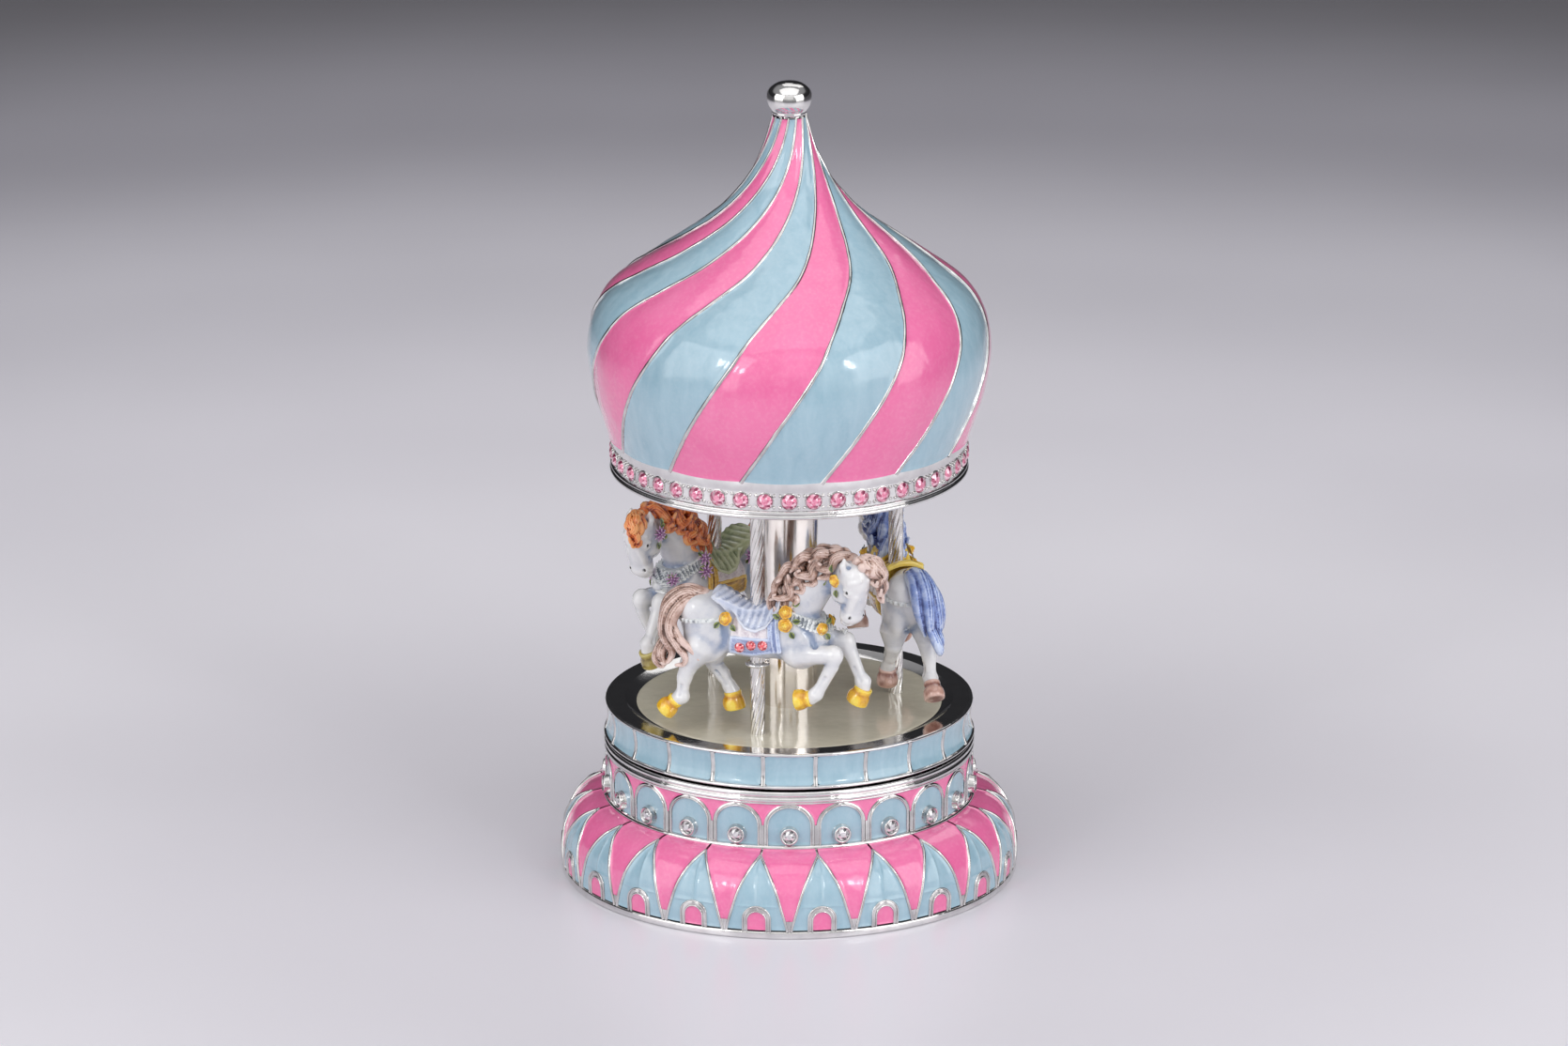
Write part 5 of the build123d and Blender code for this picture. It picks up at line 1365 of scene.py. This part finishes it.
def border_shape(skin, x, y, z):
    """The blanket's border: a hem below and a pleated strip in front, both with a rim."""
    rear, front = blanket_ends(z)
    hem = along_x(x, [-5, -4, 0, 5, 7], [50.2, 50.3, 50.1, 51.2, 51.6])
    edge = np.maximum(hem - z, np.maximum(rear - x, x - front))
    inside = np.minimum(z - 54.1, np.maximum(front - 2.4 - x, z - 58.6))
    pleat = 0.20 * np.clip((x - front + 2.4) / 0.8, 0, 1) * np.sin(2 * pi * (x + 0.12 * z) / 0.95)
    rim = 0.14 * ((np.abs(edge + 0.3) < 0.28) | (np.abs(inside + 0.25) < 0.25))
    return above(skin, 0.5 + pleat + rim, np.maximum(edge, inside))


def collar_shape(skin, x, y, z):
    """The pleated collar round the chest and the strap behind the saddle."""
    band = z - 58.4 + 0.36 * (x - 8.5)
    pleat = 0.17 * np.cos(2 * pi * (x * 0.95 + 0.42 * np.abs(y)) / 0.72)
    rim = 0.14 * (np.abs(np.abs(band) - 0.85) < 0.2)
    collar = above(skin, 0.36 + pleat + rim, np.maximum(np.abs(band) - 1.05, 6.6 - x))
    bumps = 0.14 * np.cos(2 * pi * (x + 0.6 * np.abs(y)) / 1.3)
    strap = above(skin, 0.2 + bumps, np.maximum(np.abs(z - 57.0 - 0.12 * (x + 5)) - 0.45, x + 5.6))
    return np.minimum(collar, strap)


# Every shape takes the body's distances and the three coordinates.
TACK = {"saddle": saddle_shape, "blanket": blanket_shape, "border": border_shape, "collar": collar_shape}


def tack(body, shape):
    """One piece of tack, raised off the body's own skin and closed at the ends of its grid."""
    clay, part, (x, y, z) = Clay.part_of(body, [(-17.5, -7, 47.5), (17.0, 7, 64.5)])
    value = shape(body.value[part], x, y, z)
    clay.value = np.broadcast_to(value, tuple(clay.count)).astype(np.float32).copy()
    for axis in range(3):
        for stop in (0, -1):
            ends = [slice(None)] * 3
            ends[axis] = stop
            clay.value[tuple(ends)] = np.maximum(clay.value[tuple(ends)], 0.3)
    return clay


def rose_form():
    """One small rose: rings of cupped petals round a bud."""
    clay = Clay((-2.1, -2.1, -1.0), (2.1, 2.1, 1.9), 0.09)
    clay.ball((0, 0, 0), (1.2, 1.2, 0.5), 0.2)
    clay.ball((0, 0, 0.8), (0.3, 0.3, 0.4), 0.1)
    for count, radius, rise, long, wide, tilt, phase in (
            (5, 1.0, 0.15, 0.62, 0.85, 25, 0), (5, 0.72, 0.5, 0.55, 0.62, 50, 36),
            (3, 0.38, 0.8, 0.45, 0.42, 72, 10)):
        for i in range(count):
            yaw = phase + 360 * i / count
            place = (radius * cos(radians(yaw)), radius * sin(radians(yaw)), rise)
            clay.ball(place, (long, wide, 0.17), 0.03, tilt=-tilt, yaw=yaw)
    return Form.of(clay, 1)


def aster_form():
    """One spiky flower: thin petals that spread from a small centre."""
    clay = Clay((-2.2, -2.2, -0.6), (2.2, 2.2, 1.9), 0.09)
    clay.ball((0, 0, 0.4), (0.5, 0.5, 0.4), 0.1)
    for count, radius, rise, phase in ((9, 1.75, 0.3, 0), (7, 1.3, 1.0, 20), (4, 0.6, 1.4, 5)):
        for i in range(count):
            a = radians(phase + 360 * i / count)
            tip = (radius * cos(a), radius * sin(a), rise)
            mid = (0.55 * tip[0], 0.55 * tip[1], 0.6 * rise + 0.2)
            clay.limb([(0.2 * cos(a), 0.2 * sin(a), 0.3), mid, tip], (0.2, 0.27, 0.14), 0.04)
    return Form.of(clay, 1)


def leaf_form():
    """One pointed leaf with a folded midrib."""
    u = np.linspace(0, 1, 13)[:, None]
    v = np.linspace(-1, 1, 9)[None, :]
    width = 0.58 * np.sin(pi * u**0.8) ** 0.9
    top = np.stack([0 * v + 1.7 * u, v * width, 0.22 * np.abs(v) * width + 0.21 * np.sin(pi * u)
                    + 0.05 * np.cos(9 * u * pi + 4 * np.abs(v)) * width], axis=-1)
    thick = 0.24 * np.sin(pi * np.clip(u, 0.02, 0.98)) * (1.05 - np.abs(v))
    under = top - np.stack([0 * thick, 0 * thick, thick], axis=-1)
    rows, cols = top.shape[:2]
    index = np.arange(rows * cols).reshape(rows, cols)
    quads = np.stack([index[:-1, :-1], index[1:, :-1], index[1:, 1:], index[:-1, 1:]], axis=-1).reshape(-1, 4)
    # how hollow each point reads for its paint: darker along the folded midrib as painted shade in the fold,
    # lighter at the edges
    hollow = (1.1 - np.abs(v) + 0 * u).ravel()
    verts = np.vstack([top.reshape(-1, 3), under.reshape(-1, 3)])
    return Form(verts, np.vstack([quads, quads[:, ::-1] + rows * cols]), np.concatenate([hollow, hollow]))


def facing(outward, roll):
    """A rotation that turns +Z to point outward."""
    z = Vector(outward).normalized()
    x = Vector((0, 0, 1)).cross(z).normalized()
    return np.array(Matrix((x, z.cross(x), z)).transposed() @ Matrix.Rotation(radians(roll), 3, "Z"))


FLOWERS = (      # place, outward direction, size; each is on both sides
    ((-5.1, -4.5, 57.3), (-0.2, -1, 0.35), 0.9), ((6.9, -4.5, 59.7), (0.1, -1, 0.4), 0.85),
    ((6.9, -4.9, 57.2), (0.2, -1, 0.2), 0.9), ((13.7, -2.9, 56.5), (0.7, -0.8, 0.1), 0.8),
)
LEAVES = (       # place, outward direction, roll; each is on both sides
    ((-3.9, -4.7, 56.3), (0, -1, 0.2), -50), ((-6.2, -4.6, 56.5), (0, -1, 0.2), -130),
    ((8.2, -4.1, 60.9), (0.2, -1, 0.5), 30), ((7.9, -4.9, 56.0), (0.2, -1, 0), -60),
    ((8.3, -4.7, 58.0), (0.3, -1, 0.1), 5), ((5.8, -4.7, 58.5), (0, -1, 0.3), 160),
    ((14.3, -2.6, 55.6), (0.8, -0.8, 0), -60), ((14.4, -2.5, 57.5), (0.8, -0.6, 0.2), 40),
)


def garland(head):
    """Places of the flowers and leaves on the horse's two sides, cheeks included."""
    flowers, leaves = [], []
    for side in (-1, 1):
        flip = np.array([1, -side, 1])
        flowers += [(np.array(p) * flip, np.array(out) * flip, size) for p, out, size in FLOWERS]
        leaves += [(np.array(p) * flip, np.array(out) * flip, -side * roll) for p, out, roll in LEAVES]
        cheek = head.at(3.0 * side, 7.4, -2.9)
        out = side * head.left + 0.2 * head.forward
        flowers.append((cheek, out, 0.85))
        for forward, up, roll in ((0.5, -1.6, -80), (-0.7, 1.5, 95), (-1.8, 0.8, 140), (-2.6, -0.6, 220)):
            leaves.append((cheek + forward * head.forward + np.array([0, 0, up]), out, roll))
    return flowers, leaves


HEADS = {      # yaw in degrees, and how far the forelock sweeps to the left
    "brown": (-38.0, 1.0), "blue": (0.0, 0.5), "orange": (15.0, 0.3),
}
SADDLE_STONES = ((-2.1, -5.2, 52.0), (0.2, -5.2, 52.6), (2.5, -5.2, 52.8))
SADDLE_STONE_R = 0.98


def build_horses():
    """Shapes each horse with its own turn of the head and places it on its pole in its colours."""
    body_voxel, hair_voxel, dot_voxel = (0.18, 0.15, 0.12) if FINE else (0.34, 0.3, 0.2)
    flower_forms = {"roses": rose_form(), "asters": aster_form()}
    leaf, hoof_form, tail_form = leaf_form(), hooves(hair_voxel), Form.of(tail(hair_voxel), 1)
    stones = []
    for pole, (name, paints) in zip(POLE_PLACES, HORSES.items()):
        yaw, sweep = HEADS[name]
        head = Head(yaw)
        body = horse_body(body_voxel, head)
        flowers, leaves = garland(head)
        dots = Clay(head.muzzle - 4, head.muzzle + 8, dot_voxel)
        for side in (-1, 1):
            dots.ball(head.at(2.4 * side, 5.8, 0.85), 0.36, 0.05)
            dots.ball(head.at(1.6 * side, 0.55, 1.55), (0.32, 0.26, 0.3), 0.05, yaw=head.yaw)
        forms = {
            "body": Form.of(body, reach=4), "hooves": hoof_form, "dots": Form.of(dots, 0),
            "hair": Form.joined([Form.of(mane(hair_voxel, head, sweep), 1), tail_form]),
            "leaves": Form.joined([leaf.moved(facing(out, roll), spot, 0.95) for spot, out, roll in leaves]),
        }
        for kind, flower in flower_forms.items():
            forms[kind] = Form.joined([flower.moved(facing(out, 37 * i), spot, size)
                                       for i, (spot, out, size) in enumerate(flowers)])
        for kind, shape in TACK.items():
            forms[kind] = Form.of(tack(body, shape), 1)
        heading = degrees(atan2(pole[1], pole[0])) + 90
        for part, paint in paints.items():
            node = (name + "_horse",) if part == "body" else ()
            forms[part].piece(f"{name}_{part}", *PAINTED[paint], (heading, pole), node)
        outward = turn([[0, -1, 0]], heading)[0]
        for i, spot in enumerate(SADDLE_STONES):
            stones.append((turn([spot], heading)[0] + np.array([*pole, 0]), outward, 17 * i))
    set_stones("saddle_gems", stones, SADDLE_STONE_R, RED_STONE, "carousel", "red_crystal", "saddle_stones")


# ---------------------------------------------------------------- canopy
STONES = 46            # pink stones of the cornice


def bead(ring_r, angle, height, radius):
    """A small raised bead on an upright round surface, at an angle in degrees."""
    batch = Batch()
    up = np.radians(np.linspace(-15, 90, 5))[:, None]
    a = np.linspace(0, 2 * pi, 10, endpoint=False)[None, :]
    points = np.stack([radius * np.cos(up) * np.cos(a), -ring_r - radius * np.sin(up) + 0 * a,
                       height + radius * np.cos(up) * np.sin(a)], axis=-1)
    batch.grid(turn(points, angle), wrap=True)
    return batch


def build_cornice():
    """The ring under the dome: rounded flange, band of stones with prong beads, flared top edge."""
    stone_z, stone_r = middle_and_half("cornice_crystals")
    band_r = CORNICE_R - 0.5
    line = np.vstack([
        [(28.6, CORNICE_BOTTOM + 0.4), (33.0, CORNICE_BOTTOM + 0.35), (33.3, CORNICE_BOTTOM)],
        arc_line((CORNICE_R - 0.45, CORNICE_BOTTOM + 0.45), 0.45, -90, 75),
        [(CORNICE_R - 0.42, 81.35), (CORNICE_R - 0.3, 81.5)],
        arc_line((CORNICE_R - 0.42, 81.75), 0.3, -40, 80),
        [(band_r, 82.15), (band_r, 82.5), (band_r, 85.6), (band_r + 0.08, 85.9), (band_r + 0.25, 86.3),
         (CORNICE_R - 0.1, 87.2), (CORNICE_R - 0.05, 87.75)],
    ])
    lathe(line, 8 * STONES).piece("cornice_casting", SILVER, "carousel", "silver_plate",
                                  ("cornice", "ceiling_plate"))
    ceiling = lathe([(COLUMN_R - 0.3, CEILING_BOTTOM), (33.1, CEILING_BOTTOM)], 128)
    ceiling.piece("ceiling_disc", SILVER, "carousel", "silver_plate")

    edge = np.vstack([[(stone_r + 0.30, -0.25)], arc_line((stone_r + 0.15, 0.02), 0.15, 0, 160),
                      [(stone_r, -0.25)]])
    seat = ring_on_front(edge, band_r, stone_z, 32)
    beads = Batch()
    for side in (-1, 1):
        for level in (-1, 1):
            beads.merge(bead(band_r + 0.02, 180 / STONES + 0.95 * side, stone_z + 1.15 * level, 0.36))
    seat.spun(STONES).piece("cornice_seats", WIRE_SILVER, "carousel", "silver_plate")
    beads.spun(STONES).piece("cornice_prongs", WIRE_SILVER, "carousel", "silver_plate")
    set_stones("cornice_stones", ring_places(band_r + 0.02, stone_z, STONES), stone_r, PINK_STONE,
               "carousel", "pink_crystal", "cornice_crystals")


DOME_LINE = smooth_line([
    (34.35, DOME_BOTTOM), (35.85, 92.0), (37.1, 96.0), (38.1, 101.0), (38.4, 105.5), (37.5, 110.8),
    (34.5, 115.8), (28.1, 120.7), (20.5, 126.0), (13.9, 131.0), (9.35, 136.0), (6.35, 141.0),
    (4.65, 145.0), (3.5, 149.0), (3.25, NECK_TOP),
], 0.25)
DOME = Profile(DOME_LINE)
STRIPES = 14
TWIST = smooth_line([
    (87, -1.5), (88, 0), (93.5, 6), (98.5, 11), (105.5, 18), (111, 23.5), (116, 28.5), (120.5, 36),
    (124.5, 45.5), (128, 53), (132.7, 64), (137, 75.5), (141, 87.5), (145, 100), (151, 118),
], 0.5)
FIRST_STRIPE = -40.5     # left edge of the front pink stripe at its foot


def twist(t):
    """How far a stripe's edge has turned, in degrees, at an arc length up the dome."""
    return np.interp(np.interp(t, DOME.t, DOME.line[:, 1]), TWIST[:, 0], TWIST[:, 1])


def build_dome():
    """The onion dome: seven pink and seven blue enamel stripes that twist up between silver wires."""
    width = 360 / STRIPES
    low_t, high_t = DOME.at_height(DOME_BOTTOM + 0.35), DOME.at_height(NECK_TOP - 0.4)
    t = np.linspace(low_t - 0.3, high_t + 0.3, 420)
    thin = np.interp(np.interp(t, DOME.t, DOME.line[:, 1]), [88, 130, 150], [0.80, 0.66, 0.44])
    pink, blue, wires = Batch(), Batch(), Batch()
    for start, batch in ((FIRST_STRIPE, pink), (FIRST_STRIPE + width, blue)):
        def left(t):
            return start + twist(t) + degrees(0.2) / DOME.radius(t)

        def right(t):
            return start + width + twist(t) - degrees(0.2) / DOME.radius(t)

        batch.grid(field(DOME, left, right, low_t, high_t, 220, 26, depth=0.16, lift=0.12, crown=0.34))
        angles = start + twist(t)
        path = DOME.point(angles, t, -0.06 + 0.05 * ripple(DOME.point(angles, t), 7.0))
        wires.merge(wire(path, DOME.normal_at(angles, t), thin * (1 + 0.12 * ripple(path, 3.0, 1.0)), 0.27))
    pink.spun(STRIPES // 2).piece("dome_pink_stripes", PINK, "carousel", "pink_enamel")
    blue.spun(STRIPES // 2).piece("dome_blue_stripes", BLUE, "carousel", "blue_enamel")
    wires.spun(STRIPES // 2).piece("dome_wires", WIRE_SILVER, "carousel", "silver_plate")
    under = DOME.line - (0.45, 0)
    under[:, 0] = np.maximum(under[:, 0], 2.6)
    lathe(np.vstack([[(33.0, DOME_BOTTOM)], under, [(2.0, NECK_TOP)]]), 128).piece(
        "dome_casting", SILVER, "carousel", "silver_plate", ("dome",))


def build_finial():
    """The polished ball on its neck."""
    z = NECK_TOP
    line = np.vstack([
        [(1.6, z), (3.1, z)],
        smooth_line([(3.25, z + 0.05), (3.35, z + 0.35), (3.3, z + 0.6)], 0.1),
        smooth_line([(3.35, z + 0.75), (3.95, z + 1.7), (4.3, z + 3.1), (3.95, z + 4.6), (2.6, z + 5.75),
                     (1.1, TOTAL_HEIGHT - 0.06), (0.02, TOTAL_HEIGHT)], 0.12),
    ])
    lathe(line, 96).piece("finial_ball", MIRROR, "carousel", "silver_plate", ("finial",), crease=60)


# ---------------------------------------------------------------- CAD parts that stay, in better materials
def brushed_material(name, bright, dull, rough, grain, dark_spots):
    """Turned or stamped metal: fine grain along one direction, cloudy tone and small marks."""
    mat, links, shader = new_material(name)
    shader.inputs["Metallic"].default_value = 1.0
    cloud = spread(mat, noise(mat, 4.0, 5), 0, 1)
    tone = blend_colours(mat, cloud, bright, dull)
    spots = spread(mat, noise(mat, 1.1, 6), 0.0, dark_spots, 0.55, 0.8)
    links.new(blend_colours(mat, spots, tone, tuple(0.3 * c for c in dull)), shader.inputs["Base Color"])
    lines = noise(mat, 0.35, 3, grain)
    links.new(spread(mat, lines, *rough), shader.inputs["Roughness"])
    links.new(add_bump(mat, lines, 0.012), shader.inputs["Normal"])
    return mat


def lacquer_material(name, colour, fleck):
    """A sprayed lacquer with a fine orange-peel surface and faint wear."""
    mat, links, shader = new_material(name)
    worn = spread(mat, noise(mat, 2.5, 7), 0.0, 0.5, 0.5, 0.8)
    links.new(blend_colours(mat, worn, colour, fleck), shader.inputs["Base Color"])
    links.new(spread(mat, noise(mat, 1.0, 4), 0.3, 0.5), shader.inputs["Roughness"])
    links.new(add_bump(mat, noise(mat, 0.5, 2), 0.03), shader.inputs["Normal"])
    shader.inputs["Coat Weight"].default_value = 0.3
    return mat


ALONG_X, ALONG_Y, ALONG_Z = (4, 1, 1), (1, 4, 1), (1, 1, 4)      # where a grain changes fastest
KEPT_MATERIALS = {      # by the record's material slot
    "steel": brushed_material(
        "turned_steel", (0.66, 0.67, 0.69), (0.50, 0.51, 0.53), (0.18, 0.34), ALONG_Z, 0.5),
    "nickel_steel": brushed_material(
        "nickel_plate", (0.74, 0.72, 0.68), (0.60, 0.58, 0.55), (0.14, 0.30), (3, 1, 1), 0.4),
    "comb_steel": brushed_material(
        "blued_steel", (0.36, 0.38, 0.42), (0.25, 0.26, 0.30), (0.20, 0.36), ALONG_Y, 0.3),
    "brass": brushed_material(
        "movement_brass", (0.80, 0.62, 0.30), (0.66, 0.48, 0.20), (0.16, 0.34), ALONG_Z, 0.4),
    "key_brass": brushed_material(
        "key_brass", (0.84, 0.66, 0.34), (0.70, 0.52, 0.24), (0.14, 0.30), ALONG_X, 0.5),
    "silver_plate": SILVER,
    "bottom_lacquer": lacquer_material("bottom_lacquer", (0.030, 0.030, 0.034), (0.09, 0.09, 0.095)),
}


def dress_kept_nodes():
    """Gives each CAD node that still shows the procedural material of its slot."""
    for row in frame["record"]["subparts"]:
        obj = frame["nodes"][row["node"]]
        if not obj.hide_render:
            for material_slot in obj.material_slots:
                material_slot.material = KEPT_MATERIALS[row["material_slot"]]


for step in (place_camera, lay_floor, light_sky, hang_lights, build_base_casting, build_foot, build_waist,
             build_waist_stones, build_top_cover, build_band, build_floor_disc, build_column, build_poles,
             build_cornice, build_dome, build_finial, build_horses, dress_kept_nodes):
    step()
